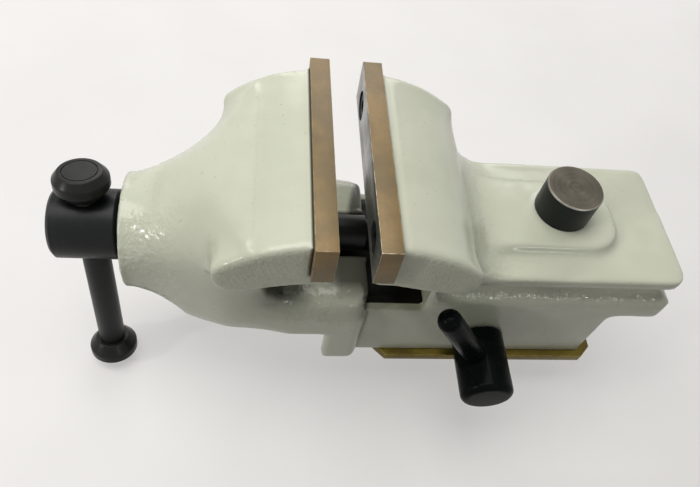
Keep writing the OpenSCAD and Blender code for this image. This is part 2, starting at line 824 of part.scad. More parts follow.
// Spindle: drilled head, plain shank and the threaded length as a plain cylinder
module spindle() {
    c = spindle_chamfer;
    color(black_oxide) difference() {
        union() {
            translate([spindle_front_x, 0, spindle_z]) rotate([0, 90, 0]) {
                cylinder(d1 = spindle_head_d - 2 * c, d2 = spindle_head_d, h = c);
                translate([0, 0, c]) cylinder(d = spindle_head_d, h = spindle_head_l - 2 * c);
                translate([0, 0, spindle_head_l - c])
                    cylinder(d1 = spindle_head_d, d2 = spindle_head_d - 2 * c, h = c);
            }
            translate([head_rear_x - eps, 0, spindle_z]) x_rod(spindle_d, thread_x - head_rear_x + eps);
            translate([thread_x - eps, 0, spindle_z]) x_rod(thread_d, spindle_rear_x - thread_x + eps);
        }
        at_tommy(-spindle_head_d) cylinder(d = tommy_hole_d, h = 2 * spindle_head_d);
        at_collar_pin() cylinder(d = collar_pin_d + 2 * snug, h = collar_d + eps, center = true);
    }
}

// Washer between the spindle's head and the nose
module thrust_washer() {
    color(steel) translate([head_rear_x, 0, spindle_z]) difference() {
        x_rod(spindle_head_d - 2 * washer_inset, washer_t);
        translate([-eps, 0, 0]) x_rod(spindle_d + 2 * running, washer_t + 2 * eps);
    }
}

// Puts the collar's pin axis upright through the collar
module at_collar_pin() {
    translate([collar_x + collar_l / 2, 0, spindle_z]) children();
}

// Collar that keeps the spindle in the moving jaw
module retaining_collar() {
    color(steel) difference() {
        translate([collar_x, 0, spindle_z]) x_rod(collar_d, collar_l);
        translate([collar_x - eps, 0, spindle_z]) x_rod(spindle_d + 2 * snug, collar_l + 2 * eps);
        at_collar_pin() cylinder(d = collar_pin_d + 2 * snug, h = collar_d + eps, center = true);
    }
}

// Pin through the collar and the spindle
module collar_pin() {
    color(steel) at_collar_pin() cylinder(d = collar_pin_d, h = collar_pin_l, center = true);
}

// Turns the tommy bar's axis, along +Z from the spindle axis, to its tilt
module at_tommy(start) {
    translate([tommy_x, 0, spindle_z]) rotate([-tommy_tilt, 0, 0]) translate([0, 0, start]) children();
}

// Sliding bar through the spindle's head, its ends set into the knobs
module tommy_bar() {
    color(black_oxide) at_tommy(-tommy_down - knob_h) difference() {
        cylinder(d = tommy_d, h = tommy_down + tommy_up + 2 * knob_h);
        translate([0, 0, -eps]) cylinder(d = tommy_d + eps, h = knob_h - knob_seat + eps);
        translate([0, 0, tommy_down + tommy_up + knob_h + knob_seat])
            cylinder(d = tommy_d + eps, h = knob_h);
    }
}

// Knob for one end of the tommy bar: flared neck, straight rim and chamfered end face
module knob() {
    top_h = knob_h - knob_neck_h - knob_rim_h;
    difference() {
        union() {
            cylinder(d1 = knob_neck_d, d2 = knob_d, h = knob_neck_h);
            translate([0, 0, knob_neck_h]) cylinder(d = knob_d, h = knob_rim_h);
            translate([0, 0, knob_neck_h + knob_rim_h]) cylinder(d1 = knob_d, d2 = knob_end_d, h = top_h);
        }
        translate([0, 0, -eps]) cylinder(d = tommy_d + 2 * snug, h = knob_seat + eps);
    }
}

// Knob at the upper end of the tommy bar
module upper_knob() {
    color(black_oxide) at_tommy(tommy_up) knob();
}

// Knob at the lower end of the tommy bar
module lower_knob() {
    color(black_oxide) at_tommy(-tommy_down) mirror([0, 0, 1]) knob();
}

base_plate();
swivel_post();
post_screws();
rear_jaw_body();
rear_jaw_plate();
rear_plate_screws();
anvil();
spindle_nut();
nut_screws();
clamp_shoe();
clamp_screw();
clamp_lever();
front_jaw_body();
front_jaw_plate();
front_plate_screws();
slide_bar();
slide_bar_screws();
spindle_bush();
spindle();
thrust_washer();
retaining_collar();
collar_pin();
tommy_bar();
upper_knob();
lower_knob();
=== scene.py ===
"""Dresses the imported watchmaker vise: enamelled castings, brown plates and black turned parts."""

import logging
import math
from dataclasses import dataclass
from enum import Enum
from functools import cache
from typing import Callable

import bmesh
import bpy
import numpy as np
from bmesh.types import BMesh
from bpy.types import Material, Mesh, Node, NodeSocket, NodeTree, Object
from mathutils import Euler, Matrix, Vector, noise
from mathutils.bvhtree import BVHTree


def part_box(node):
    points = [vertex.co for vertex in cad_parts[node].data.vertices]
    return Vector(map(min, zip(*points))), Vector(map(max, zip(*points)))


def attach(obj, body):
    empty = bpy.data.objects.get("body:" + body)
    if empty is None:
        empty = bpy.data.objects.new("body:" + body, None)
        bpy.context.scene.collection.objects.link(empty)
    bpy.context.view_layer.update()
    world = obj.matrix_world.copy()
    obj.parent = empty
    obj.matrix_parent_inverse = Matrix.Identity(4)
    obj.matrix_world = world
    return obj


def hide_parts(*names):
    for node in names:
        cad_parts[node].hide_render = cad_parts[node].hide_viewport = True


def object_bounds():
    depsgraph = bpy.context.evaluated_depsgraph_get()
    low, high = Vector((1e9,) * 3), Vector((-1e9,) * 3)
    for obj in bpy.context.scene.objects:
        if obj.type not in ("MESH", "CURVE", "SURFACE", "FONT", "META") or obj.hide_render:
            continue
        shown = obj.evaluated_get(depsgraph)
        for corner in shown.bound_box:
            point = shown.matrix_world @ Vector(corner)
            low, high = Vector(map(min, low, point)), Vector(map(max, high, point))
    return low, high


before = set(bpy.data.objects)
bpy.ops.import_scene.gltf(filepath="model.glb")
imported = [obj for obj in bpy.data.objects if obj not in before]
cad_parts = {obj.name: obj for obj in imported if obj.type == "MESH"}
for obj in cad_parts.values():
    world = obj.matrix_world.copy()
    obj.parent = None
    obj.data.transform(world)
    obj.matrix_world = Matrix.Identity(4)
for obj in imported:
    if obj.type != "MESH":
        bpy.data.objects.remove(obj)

CAD_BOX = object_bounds()
LOG = logging.getLogger("vise")
MM = 0.001
PER_M = 1000.0
PHOTO_SIZE = (700, 487)
FLOAT = "NodeSocketFloat"
VECTOR = "NodeSocketVector"
GEOMETRY = "NodeSocketGeometry"
FINISH = "NodeSocketMaterial"

Colour = tuple[float, float, float]
Point = tuple[float, float, float]
Size = tuple[float, float]
Span = tuple[float, ...]
Profile = list[tuple[float, float]]
Reshape = Callable[[BMesh], None]

AFT: Point = (1.0, 0.0, 0.0)
FORE: Point = (-1.0, 0.0, 0.0)
FAR: Point = (0.0, 1.0, 0.0)
UP: Point = (0.0, 0.0, 1.0)

# Places that several pieces share, in millimetres.
SPINDLE_Z = 34.0
CLAMP_Z = 12.0
PLATE_HOLE = (21.0, 61.5)
ANVIL_PLACE = (17.4, 1.4)


class Slot(Enum):
    """The record's material slots."""

    ENAMEL = "enamel"
    PLATE = "jaw_plate_steel"
    BLACK = "black_oxide"
    BRIGHT = "bright_steel"
    BRASS = "base_brass"
    BRONZE = "bush_bronze"


class Body(Enum):
    """The bodies that pieces ride on."""

    BASE = "base"
    REAR = "rear_jaw"
    SHOE = "clamp_shoe"
    CLAMP = "clamp_screw"
    FRONT = "front_jaw"
    SPINDLE = "spindle"
    BAR = "tommy_bar"


def rgba(colour: Colour) -> tuple[float, float, float, float]:
    """Adds a full alpha to a colour."""
    return (*colour, 1.0)


def ramp(values: np.ndarray, low: float, high: float) -> np.ndarray:
    """Goes from 0 at low to 1 at high, upward or downward, and stays there."""
    return np.clip((values - low) / (high - low), 0.0, 1.0)


# ---------------------------------------------------------------- node helpers


class Graph:
    """Adds nodes to a tree and feeds their inputs in one call."""

    def __init__(self, tree: NodeTree) -> None:
        """Keeps the tree to work on."""
        self.tree = tree

    def feed(self, node: Node, inputs: dict) -> None:
        """Links or sets a node's inputs.

        Args:
            node: The node to feed.
            inputs: Output sockets or plain values, by input name or index.
        """
        for key, value in inputs.items():
            if isinstance(value, NodeSocket):
                self.tree.links.new(value, node.inputs[key])
            else:
                node.inputs[key].default_value = value

    def add(self, kind: str, inputs: dict | None = None, **settings: object) -> Node:
        """Adds one node.

        Args:
            kind: The node's type name.
            inputs: Output sockets or plain values, by input name or index.
            **settings: Properties of the node.

        Returns:
            The new node.
        """
        node = self.tree.nodes.new(kind)
        for name, value in settings.items():
            setattr(node, name, value)
        self.feed(node, inputs or {})
        return node

    def shown_rays(self) -> NodeSocket:
        """Finds the rays that show a background: from the camera, off metal and through glass.

        Returns:
            A value of 1 for these rays and 0 for others.
        """
        rays = self.add("ShaderNodeLightPath").outputs
        straight = self.math("MAXIMUM", rays["Is Camera Ray"], rays["Is Transmission Ray"])
        return self.math("MAXIMUM", straight, rays["Is Glossy Ray"])

    def math(self, kind: str, a: object, b: object, clamp: bool = False) -> NodeSocket:
        """Returns the result of a Math node on two values."""
        return self.add("ShaderNodeMath", {0: a, 1: b}, operation=kind, use_clamp=clamp).outputs[0]

    def times(self, a: object, b: object) -> NodeSocket:
        """Returns the product of two values."""
        return self.math("MULTIPLY", a, b)

    def spread(self, value: object, low: float, high: float,
               to_low: float = 0.0, to_high: float = 1.0) -> NodeSocket:
        """Maps a range of a value to another range, with soft ends.

        Args:
            value: The value to map.
            low: Start of its range.
            high: End of its range.
            to_low: Result at the start.
            to_high: Result at the end.

        Returns:
            The mapped value's socket.
        """
        ends = {"Value": value, "From Min": low, "From Max": high,
                "To Min": to_low, "To Max": to_high}
        return self.add("ShaderNodeMapRange", ends, interpolation_type="SMOOTHSTEP").outputs[0]

    def between(self, value: object, low: float, high: float) -> NodeSocket:
        """Maps a value from 0 to 1 to the range from low to high."""
        return self.spread(value, 0.0, 1.0, low, high)

    def blend(self, factor: object, a: object, b: object) -> NodeSocket:
        """Returns a mix of two colours."""
        return self.add("ShaderNodeMix", {0: factor, 6: a, 7: b}, data_type="RGBA").outputs[2]

    def layers(self, colour: Colour, *coats: tuple[object, Colour]) -> NodeSocket:
        """Lays colours over a first one.

        Args:
            colour: The colour at the bottom.
            *coats: A factor and a colour each, from the bottom up.

        Returns:
            The mixed colour's socket.
        """
        mixed = rgba(colour)
        for factor, coat in coats:
            mixed = self.blend(factor, mixed, rgba(coat))
        return mixed

    def noise(self, vector: object, size: object, detail: float) -> NodeSocket:
        """Returns noise whose grains are about size millimetres wide."""
        scale = self.math("DIVIDE", PER_M, size) if isinstance(size, NodeSocket) else PER_M / size
        inputs = {"Vector": vector, "Scale": scale, "Detail": detail}
        return self.add("ShaderNodeTexNoise", inputs).outputs[0]

    def bump(self, height: object, depth: float, normal: object = None,
             strength: object = 1.0) -> NodeSocket:
        """Bends a normal by a height.

        Args:
            height: The height, from 0 to 1.
            depth: How deep that is, in millimetres.
            normal: A normal that is bent already.
            strength: How much of the bend shows.

        Returns:
            The bent normal's socket.
        """
        inputs = {"Height": height, "Distance": depth * MM, "Strength": strength}
        if normal is not None:
            inputs["Normal"] = normal
        return self.add("ShaderNodeBump", inputs).outputs[0]

    def attribute(self, name: str, output: str = "Fac") -> NodeSocket:
        """Returns a mesh attribute's value."""
        return self.add("ShaderNodeAttribute", attribute_name=name).outputs[output]


def new_group(name: str, inputs: dict[str, str], outputs: dict[str, str],
              kind: str = "ShaderNodeTree") -> tuple[Graph, Node, Node]:
    """Starts a node group with named sockets.

    Args:
        name: The group's name.
        inputs: Socket types by input name.
        outputs: Socket types by output name.
        kind: The tree's type.

    Returns:
        The graph and its input and output nodes.
    """
    tree = bpy.data.node_groups.new(name, kind)
    for way, sockets in (("INPUT", inputs), ("OUTPUT", outputs)):
        for label, socket in sockets.items():
            tree.interface.new_socket(name=label, in_out=way, socket_type=socket)
    graph = Graph(tree)
    return graph, graph.add("NodeGroupInput"), graph.add("NodeGroupOutput")


class Effects:
    """The shader effects that several finishes share, each built once."""

    @staticmethod
    @cache
    def mottle() -> NodeTree:
        """Builds broad patches and a fine grain, as finishes vary from place to place.

        Returns:
            The group, with Patches and Grain from 0 to 1.
        """
        sizes = {"Vector": VECTOR, "Patch Size": FLOAT, "Grain Size": FLOAT}
        graph, entry, leave = new_group("finish_mottle", sizes, {"Patches": FLOAT, "Grain": FLOAT})
        for label, size, low, high, detail in (("Patches", "Patch Size", 0.32, 0.68, 3.0),
                                               ("Grain", "Grain Size", 0.25, 0.75, 2.0)):
            cells = graph.noise(entry.outputs["Vector"], entry.outputs[size], detail)
            graph.feed(leave, {label: graph.spread(cells, low, high)})
        return graph.tree

    @staticmethod
    @cache
    def lathe_marks() -> NodeTree:
        """Builds the fine rings left by turning, along a piece's own axis and radius.

        Returns:
            The group, with Lines as a height and Bands as a slow change of tone.
        """
        graph, entry, leave = new_group("lathe_marks", {"Turned": VECTOR, "Feed": FLOAT},
                                        {"Lines": FLOAT, "Bands": FLOAT})
        parts = graph.add("ShaderNodeSeparateXYZ", {0: entry.outputs["Turned"]}).outputs
        path = graph.math("ADD", parts[0], parts[1])
        turns = graph.math("DIVIDE", path, entry.outputs["Feed"])
        for label, step, detail in (("Lines", 1.0, 2.0), ("Bands", 0.11, 1.0)):
            ring = graph.add("ShaderNodeTexNoise", {"W": turns, "Scale": step, "Detail": detail},
                             noise_dimensions="1D")
            graph.feed(leave, {label: graph.spread(ring.outputs[0], 0.25, 0.75)})
        return graph.tree

    @staticmethod
    @cache
    def edge_wear_and_highlight() -> NodeTree:
        """Breaks an edge mask up as rubbing does; the mask lightens edges as rubbed metal and as a
        painted highlight.

        Returns:
            The group, with Mask from 0 to 1.
        """
        sizes = {"Edge": FLOAT, "Vector": VECTOR, "Break Size": FLOAT, "Amount": FLOAT}
        graph, entry, leave = new_group("edge_wear_and_highlight", sizes, {"Mask": FLOAT})
        chips = graph.noise(entry.outputs["Vector"], entry.outputs["Break Size"], 3.0)
        patchy = graph.times(graph.spread(chips, 0.35, 0.65), entry.outputs["Amount"])
        worn_and_lit = graph.math("MULTIPLY", entry.outputs["Edge"], patchy, clamp=True)
        graph.feed(leave, {"Mask": worn_and_lit})
        return graph.tree

    @staticmethod
    @cache
    def grind_lines() -> NodeTree:
        """Builds the straight fine lines left by grinding or rolling.

        Returns:
            The group, with Lines as a height and tone from 0 to 1.
        """
        graph, entry, leave = new_group("grind_lines", {"Vector": VECTOR, "Stretch": VECTOR},
                                        {"Lines": FLOAT})
        both = {0: entry.outputs["Vector"], 1: entry.outputs["Stretch"]}
        drawn = graph.add("ShaderNodeVectorMath", both, operation="MULTIPLY").outputs[0]
        graph.feed(leave, {"Lines": graph.spread(graph.noise(drawn, PER_M, 3.0), 0.3, 0.7)})
        return graph.tree


class FinishGraph(Graph):
    """A material's nodes, with the shared effects at hand."""

    def __init__(self, tree: NodeTree) -> None:
        """Keeps the tree and its Object coordinates, in metres."""
        super().__init__(tree)
        self.place = self.add("ShaderNodeTexCoord").outputs["Object"]

    def effect(self, tree: NodeTree, inputs: dict) -> list[NodeSocket]:
        """Places a shared effect and returns its outputs in order."""
        return list(self.add("ShaderNodeGroup", inputs, node_tree=tree).outputs)

    def mottle(self, patch: float, grain: float) -> list[NodeSocket]:
        """Returns patches and grain of two sizes in millimetres."""
        sizes = {"Vector": self.place, "Patch Size": patch, "Grain Size": grain}
        return self.effect(Effects.mottle(), sizes)

    def rings(self, feed: float) -> list[NodeSocket]:
        """Returns turning lines and bands for a feed in millimetres a turn."""
        turned = self.attribute("turned", "Vector")
        return self.effect(Effects.lathe_marks(), {"Turned": turned, "Feed": feed})

    def wear_and_highlight(self, size: float, amount: float) -> NodeSocket:
        """Returns the rubbed and painted-highlight edges, broken up by a size in millimetres."""
        edge = {"Edge": self.attribute("edge"), "Vector": self.place}
        return self.effect(Effects.edge_wear_and_highlight(), {**edge, "Break Size": size, "Amount": amount})[0]

    def lines(self, *stretch: float) -> NodeSocket:
        """Returns grinding lines, stretched by so many grains a metre along each axis."""
        return self.effect(Effects.grind_lines(), {"Vector": self.place, "Stretch": stretch})[0]


# ---------------------------------------------------------------- finishes


@dataclass(frozen=True)
class Finish:
    """A finish of the vise; each kind wires its own nodes."""

    name: str

    @cache
    def material(self) -> Material:
        """Builds the finish's material on first use.

        Returns:
            The material.
        """
        made = bpy.data.materials.new(self.name)
        made.use_nodes = True
        self.wire(FinishGraph(made.node_tree), made.node_tree.nodes["Principled BSDF"])
        return made

    def wire(self, graph: FinishGraph, shader: Node) -> None:
        """Feeds the shader's sockets from the material's nodes; each finish has its own."""
        raise NotImplementedError


@dataclass(frozen=True)
class Enamel(Finish):
    """Gloss enamel flowed over a sand casting."""

    colour: Colour = (0.585, 0.605, 0.485)
    shade: Colour = (0.52, 0.545, 0.425)
    # The next colour darkens the hollows as dirt and as painted shade, and also colours the specks.
    soil_and_shade: Colour = (0.17, 0.165, 0.12)
    # The next colour is painted shade in joints and corners.
    gap_shade: Colour = (0.02, 0.019, 0.015)
    mottle: Size = (14.0, 0.7)
    tint: Size = (0.0, 0.5)
    hollow_soil_and_shade: Size = (0.35, 0.8)
    hollow_soil_and_shade_share: float = 0.42
    grit: Size = (0.05, 0.3)
    speck: float = 0.9
    speck_share: float = 0.35
    gap_shade_share: float = 0.9
    run: float = 11.0
    run_share: Size = (0.4, 1.0)
    thin: float = 0.05
    lump: Size = (1.5, 0.42)
    sand: Size = (0.8, 0.3)
    sand_share: Size = (0.05, 0.9)
    sand_rough: float = 0.2
    rough: Size = (0.21, 0.075)
    specular: float = 0.42

    def wire(self, graph: FinishGraph, shader: Node) -> None:
        """Mixes tone, dirt and painted shade in the hollows, painted shade at joints and corners,
        flow lumps and sandy end faces.

        Args:
            graph: The material's nodes.
            shader: The Principled BSDF.
        """
        patches, grain = graph.mottle(*self.mottle)
        sandy = graph.attribute("sandy")
        # Dirt and painted shade darken the hollows that the rounding filled.
        soiled_and_shaded = graph.times(graph.attribute("cavity"), graph.between(grain, *self.hollow_soil_and_shade))
        gritty = graph.times(sandy, graph.spread(grain, 0.2, 0.9, *self.grit))
        specks = graph.spread(graph.noise(graph.place, self.speck, 1.0), 0.74, 0.78)
        # The last coat paints shade into joints and corners and darkens a band at the saddle's back
        # edge.
        base = graph.layers(self.colour, (graph.between(patches, *self.tint), self.shade),
                            (graph.times(soiled_and_shaded, self.hollow_soil_and_shade_share), self.soil_and_shade),
                            (gritty, self.shade),
                            (graph.times(specks, self.speck_share), self.soil_and_shade),
                            (graph.times(graph.attribute("seam"), self.gap_shade_share), self.gap_shade))
        streaks = graph.noise(graph.place, self.run, 0.0)
        runs = graph.times(graph.spread(streaks, 0.2, 0.8, *self.run_share),
                           graph.attribute("lumpy"))
        flow = graph.math("ADD", runs, self.thin, clamp=True)
        rough = graph.math("ADD", graph.between(flow, *self.rough),
                           graph.times(sandy, self.sand_rough))
        lumps = graph.noise(graph.place, self.lump[0], 2.0)
        skin = graph.bump(lumps, self.lump[1], strength=flow)
        tooth = graph.noise(graph.place, self.sand[0], 2.5)
        normal = graph.bump(tooth, self.sand[1], skin, graph.between(sandy, *self.sand_share))
        graph.feed(shader, {"Base Color": base, "Roughness": rough, "Normal": normal,
                            "Specular IOR Level": self.specular})


@dataclass(frozen=True)
class OiledWay(Finish):
    """Machined iron of the slide ways, dark and oiled; the castings also take it as painted shade
    on faces in deep shade.
    """

    colour: Colour = (0.007, 0.0075, 0.007)
    streak: Colour = (0.018, 0.018, 0.0165)
    mottle: Size = (6.0, 0.5)
    stretch: Point = (180.0, 2600.0, 2600.0)
    rough: Size = (0.3, 0.5)
    specular: float = 0.12
    depth: float = 0.01

    def wire(self, graph: FinishGraph, shader: Node) -> None:
        """Drags dark oiled streaks along the slide.

        Args:
            graph: The material's nodes.
            shader: The Principled BSDF.
        """
        drag = graph.lines(*self.stretch)
        patches, grain = graph.mottle(*self.mottle)
        base = graph.layers(self.colour, (graph.times(drag, patches), self.streak))
        graph.feed(shader, {"Base Color": base, "Roughness": graph.between(grain, *self.rough),
                            "Specular IOR Level": self.specular,
                            "Normal": graph.bump(drag, self.depth)})


@dataclass(frozen=True)
class TemperedSteel(Finish):
    """Hardened plate steel, tempered brown, with bright edges that are partly rubbed and partly a
    painted highlight.
    """

    colour: Colour = (0.205, 0.134, 0.049)
    patch: Colour = (0.138, 0.098, 0.043)
    # The next colour lightens edges as rubbed metal and as a painted highlight.
    edge: Colour = (0.42, 0.37, 0.28)
    mottle: Size = (9.0, 0.35)
    stretch: Point = (3200.0, 160.0, 900.0)
    fine: float = 0.35
    wear_and_highlight: Size = (1.6, 0.8)
    metallic: Size = (0.2, 0.95)
    rough: Size = (0.44, 0.58)
    depth: float = 0.006

    def wire(self, graph: FinishGraph, shader: Node) -> None:
        """Clouds the temper colour and brightens the edges, as rubbed metal and as a painted
        highlight.

        Args:
            graph: The material's nodes.
            shader: The Principled BSDF.
        """
        patches, grain = graph.mottle(*self.mottle)
        lines = graph.lines(*self.stretch)
        fine = graph.times(graph.times(grain, lines), self.fine)
        wear_and_highlight = graph.wear_and_highlight(*self.wear_and_highlight)
        base = graph.layers(self.colour, (patches, self.patch), (fine, self.patch),
                            (wear_and_highlight, self.edge))
        graph.feed(shader, {"Base Color": base, "Metallic": graph.between(wear_and_highlight, *self.metallic),
                            "Roughness": graph.between(grain, *self.rough),
                            "Normal": graph.bump(lines, self.depth)})


@dataclass(frozen=True)
class GroundSteel(Finish):
    """Surface-ground steel with upright lines and a few rub marks."""

    colour: Colour = (0.34, 0.34, 0.325)
    dull: Colour = (0.2, 0.197, 0.185)
    mottle: Size = (7.0, 0.4)
    stretch: Point = (900.0, 240.0, 5200.0)
    rub: Size = (0.25, 0.9)
    metallic: float = 0.9
    rough: Size = (0.28, 0.42)
    depth: float = 0.006

    def wire(self, graph: FinishGraph, shader: Node) -> None:
        """Lays grinding lines across the face.

        Args:
            graph: The material's nodes.
            shader: The Principled BSDF.
        """
        lines = graph.lines(*self.stretch)
        patches = graph.mottle(*self.mottle)[0]
        mask = graph.times(lines, graph.between(patches, *self.rub))
        graph.feed(shader, {"Base Color": graph.layers(self.colour, (mask, self.dull)),
                            "Roughness": graph.between(patches, *self.rough),
                            "Metallic": self.metallic,
                            "Normal": graph.bump(lines, self.depth)})


@dataclass(frozen=True)
class BlackOxide(Finish):
    """Blackened turned steel, satin, with greyer edges that are partly rubbed and partly a painted
    highlight.
    """

    colour: Colour = (0.006, 0.0078, 0.0074)
    rubbed: Colour = (0.018, 0.0205, 0.0198)
    feed: float = 0.22
    satin: float = 0.36
    gloss: float = 0.2
    mottle: Size = (5.0, 0.3)
    hands: Size = (0.1, 0.35)
    wear_and_highlight: Size = (1.2, 0.9)
    bare: float = 2.2
    uneven: Size = (-0.05, 0.06)
    band_rough: float = 0.05
    depth: float = 0.0035

    def wire(self, graph: FinishGraph, shader: Node) -> None:
        """Turns rings into the black skin, greys what hands rub and lightens the edges as rubbing
        and as a painted highlight.

        Args:
            graph: The material's nodes.
            shader: The Principled BSDF.
        """
        lines, bands = graph.rings(self.feed)
        patches, grain = graph.mottle(*self.mottle)
        hands = graph.times(patches, graph.between(bands, *self.hands))
        # Edges are lightened as rubbed metal and as a painted highlight.
        worn_and_lit = tuple(self.bare * part for part in self.rubbed)
        base = graph.layers(self.colour, (hands, self.rubbed),
                            (graph.wear_and_highlight(*self.wear_and_highlight), worn_and_lit))
        low, high = (self.satin + step for step in self.uneven)
        rough = graph.math("ADD", graph.between(grain, low, high),
                           graph.times(bands, self.band_rough))
        graph.feed(shader, {"Base Color": base, "Roughness": rough,
                            "Specular IOR Level": self.gloss,
                            "Normal": graph.bump(lines, self.depth)})


@dataclass(frozen=True)
class TurnedSteel(Finish):
    """Bare or browned steel faced in the lathe."""

    colour: Colour = (0.108, 0.097, 0.075)
    band: Colour = (0.07, 0.062, 0.048)
    metallic: float = 0.85
    rough: Size = (0.3, 0.44)
    depth: float = 0.007
    feed: float = 0.16
    mottle: Size = (5.0, 0.3)
    tone: Size = (0.4, 1.0)
    brushed: float = 0.75

    def wire(self, graph: FinishGraph, shader: Node) -> None:
        """Lays facing rings about the piece's axis.

        Args:
            graph: The material's nodes.
            shader: The Principled BSDF.
        """
        lines, bands = graph.rings(self.feed)
        patches, grain = graph.mottle(*self.mottle)
        mask = graph.times(bands, graph.between(patches, *self.tone))
        spin = graph.add("ShaderNodeVectorTransform", {0: graph.attribute("spin", "Vector")},
                         vector_type="VECTOR", convert_from="OBJECT", convert_to="WORLD")
        graph.feed(shader, {"Base Color": graph.layers(self.colour, (mask, self.band)),
                            "Roughness": graph.between(grain, *self.rough),
                            "Metallic": self.metallic, "Normal": graph.bump(lines, self.depth),
                            "Anisotropic": self.brushed, "Tangent": spin.outputs[0]})


@dataclass(frozen=True)
class RolledBrass(Finish):
    """Rolled brass plate with tarnish and drag lines."""

    colour: Colour = (0.14, 0.102, 0.012)
    tarnish: Colour = (0.074, 0.053, 0.008)
    # The next colour lightens edges as rubbed metal and as a painted highlight.
    edge: Colour = (0.3, 0.235, 0.06)
    mottle: Size = (8.0, 0.5)
    stretch: Point = (130.0, 2600.0, 2600.0)
    drag: Size = (0.4, 1.0)
    wear_and_highlight: Size = (2.0, 0.9)
    metallic: float = 0.75
    rough: Size = (0.34, 0.5)
    depth: float = 0.008

    def wire(self, graph: FinishGraph, shader: Node) -> None:
        """Stains the plate and brightens its corners, as rubbed metal and as a painted highlight.

        Args:
            graph: The material's nodes.
            shader: The Principled BSDF.
        """
        patches, grain = graph.mottle(*self.mottle)
        lines = graph.lines(*self.stretch)
        stain = graph.times(patches, graph.between(lines, *self.drag))
        base = graph.layers(self.colour, (stain, self.tarnish),
                            (graph.wear_and_highlight(*self.wear_and_highlight), self.edge))
        graph.feed(shader, {"Base Color": base, "Roughness": graph.between(grain, *self.rough),
                            "Metallic": self.metallic,
                            "Normal": graph.bump(lines, self.depth)})


@dataclass(frozen=True)
class PaleBoard(Finish):
    """Matt pale board that the vise is set down on."""

    colour: Colour = (0.86, 0.845, 0.83)
    shade: Colour = (0.835, 0.82, 0.805)
    lift: float = 0.5
    mottle: Size = (60.0, 1.0)
    dimmed: float = 0.3
    slant: float = 0.6
    shadow_rise: Size = (0.0, 0.17)
    shadow_reach: Size = (0.13, 0.45)
    even_reach: Size = (0.1, 1.0)
    even: float = 0.99
    rough: float = 0.65
    specular: float = 0.25

    def wire(self, graph: FinishGraph, shader: Node) -> None:
        """Gives the board a faint tooth, shows it evenly pale with its real shadow softened, and
        paints a soft shadow patch near the vise on its near right side.

        Args:
            graph: The material's nodes.
            shader: The Principled BSDF.
        """
        patches = graph.mottle(*self.mottle)[0]
        pale = graph.layers(self.colour, (patches, self.shade))
        axes = graph.add("ShaderNodeSeparateXYZ", {0: graph.place}).outputs
        near = graph.math("SUBTRACT", graph.times(axes[0], self.slant), axes[1])
        length = graph.add("ShaderNodeVectorMath", {0: graph.place}, operation="LENGTH")
        away = length.outputs["Value"]
        # A painted shadow patch darkens the board near the vise on its near right side.
        local = graph.spread(away, *self.shadow_reach, 1.0, 0.0)
        side = graph.spread(near, *self.shadow_rise, 0.0, self.lift * self.dimmed)
        plain = graph.spread(away, *self.even_reach, self.lift, self.even)
        level = graph.math("SUBTRACT", plain, graph.times(side, local))
        graph.feed(shader, {"Base Color": graph.blend(self.lift, pale, rgba((0.0, 0.0, 0.0))),
                            "Emission Color": pale,
                            "Emission Strength": graph.times(graph.shown_rays(), level),
                            "Roughness": self.rough, "Specular IOR Level": self.specular})


ENAMEL = Enamel("cast_enamel")
# The dark finish of the slide ways, also laid on the castings as painted shade.
WAY_AND_SHADE = OiledWay("oiled_way_and_shade")
PLATE = TemperedSteel("tempered_plate")
GRIP = GroundSteel("ground_grip")
BLACK = BlackOxide("black_satin")
BLACK_BOLT = BlackOxide("black_bolt", feed=0.12, satin=0.42)
# A darker copy of the black oxide paints the shade that the clamp's hub and lever lie in.
BLACK_CLAMP_SHADED = BlackOxide("black_clamp_shaded", (0.0026, 0.0042, 0.0038), (0.006, 0.0085, 0.0079),
                         satin=0.22, gloss=0.03)
# A lighter copy of the black oxide paints the sheen on the knobs' end faces.
BLACK_KNOB_LIT = BlackOxide("black_knob_lit", (0.011, 0.0113, 0.0107), (0.024, 0.0245, 0.0236),
                        satin=0.28, gloss=0.16)
ANVIL_TOP = TurnedSteel("faced_anvil")
ANVIL_RIM = TurnedSteel("anvil_rim", (0.29, 0.276, 0.243), (0.19, 0.18, 0.157),
                        metallic=0.9, rough=(0.3, 0.42))
BRIGHT = TurnedSteel("bright_turned", (0.5, 0.5, 0.48), (0.4, 0.4, 0.385),
                     metallic=0.95, rough=(0.24, 0.36), depth=0.005)
BRONZE = TurnedSteel("turned_bronze", (0.45, 0.28, 0.12), (0.33, 0.2, 0.08),
                     metallic=0.9, rough=(0.28, 0.4), depth=0.005)
BRASS = RolledBrass("rolled_brass")
BOARD = PaleBoard("pale_board")


# ---------------------------------------------------------------- mesh helpers


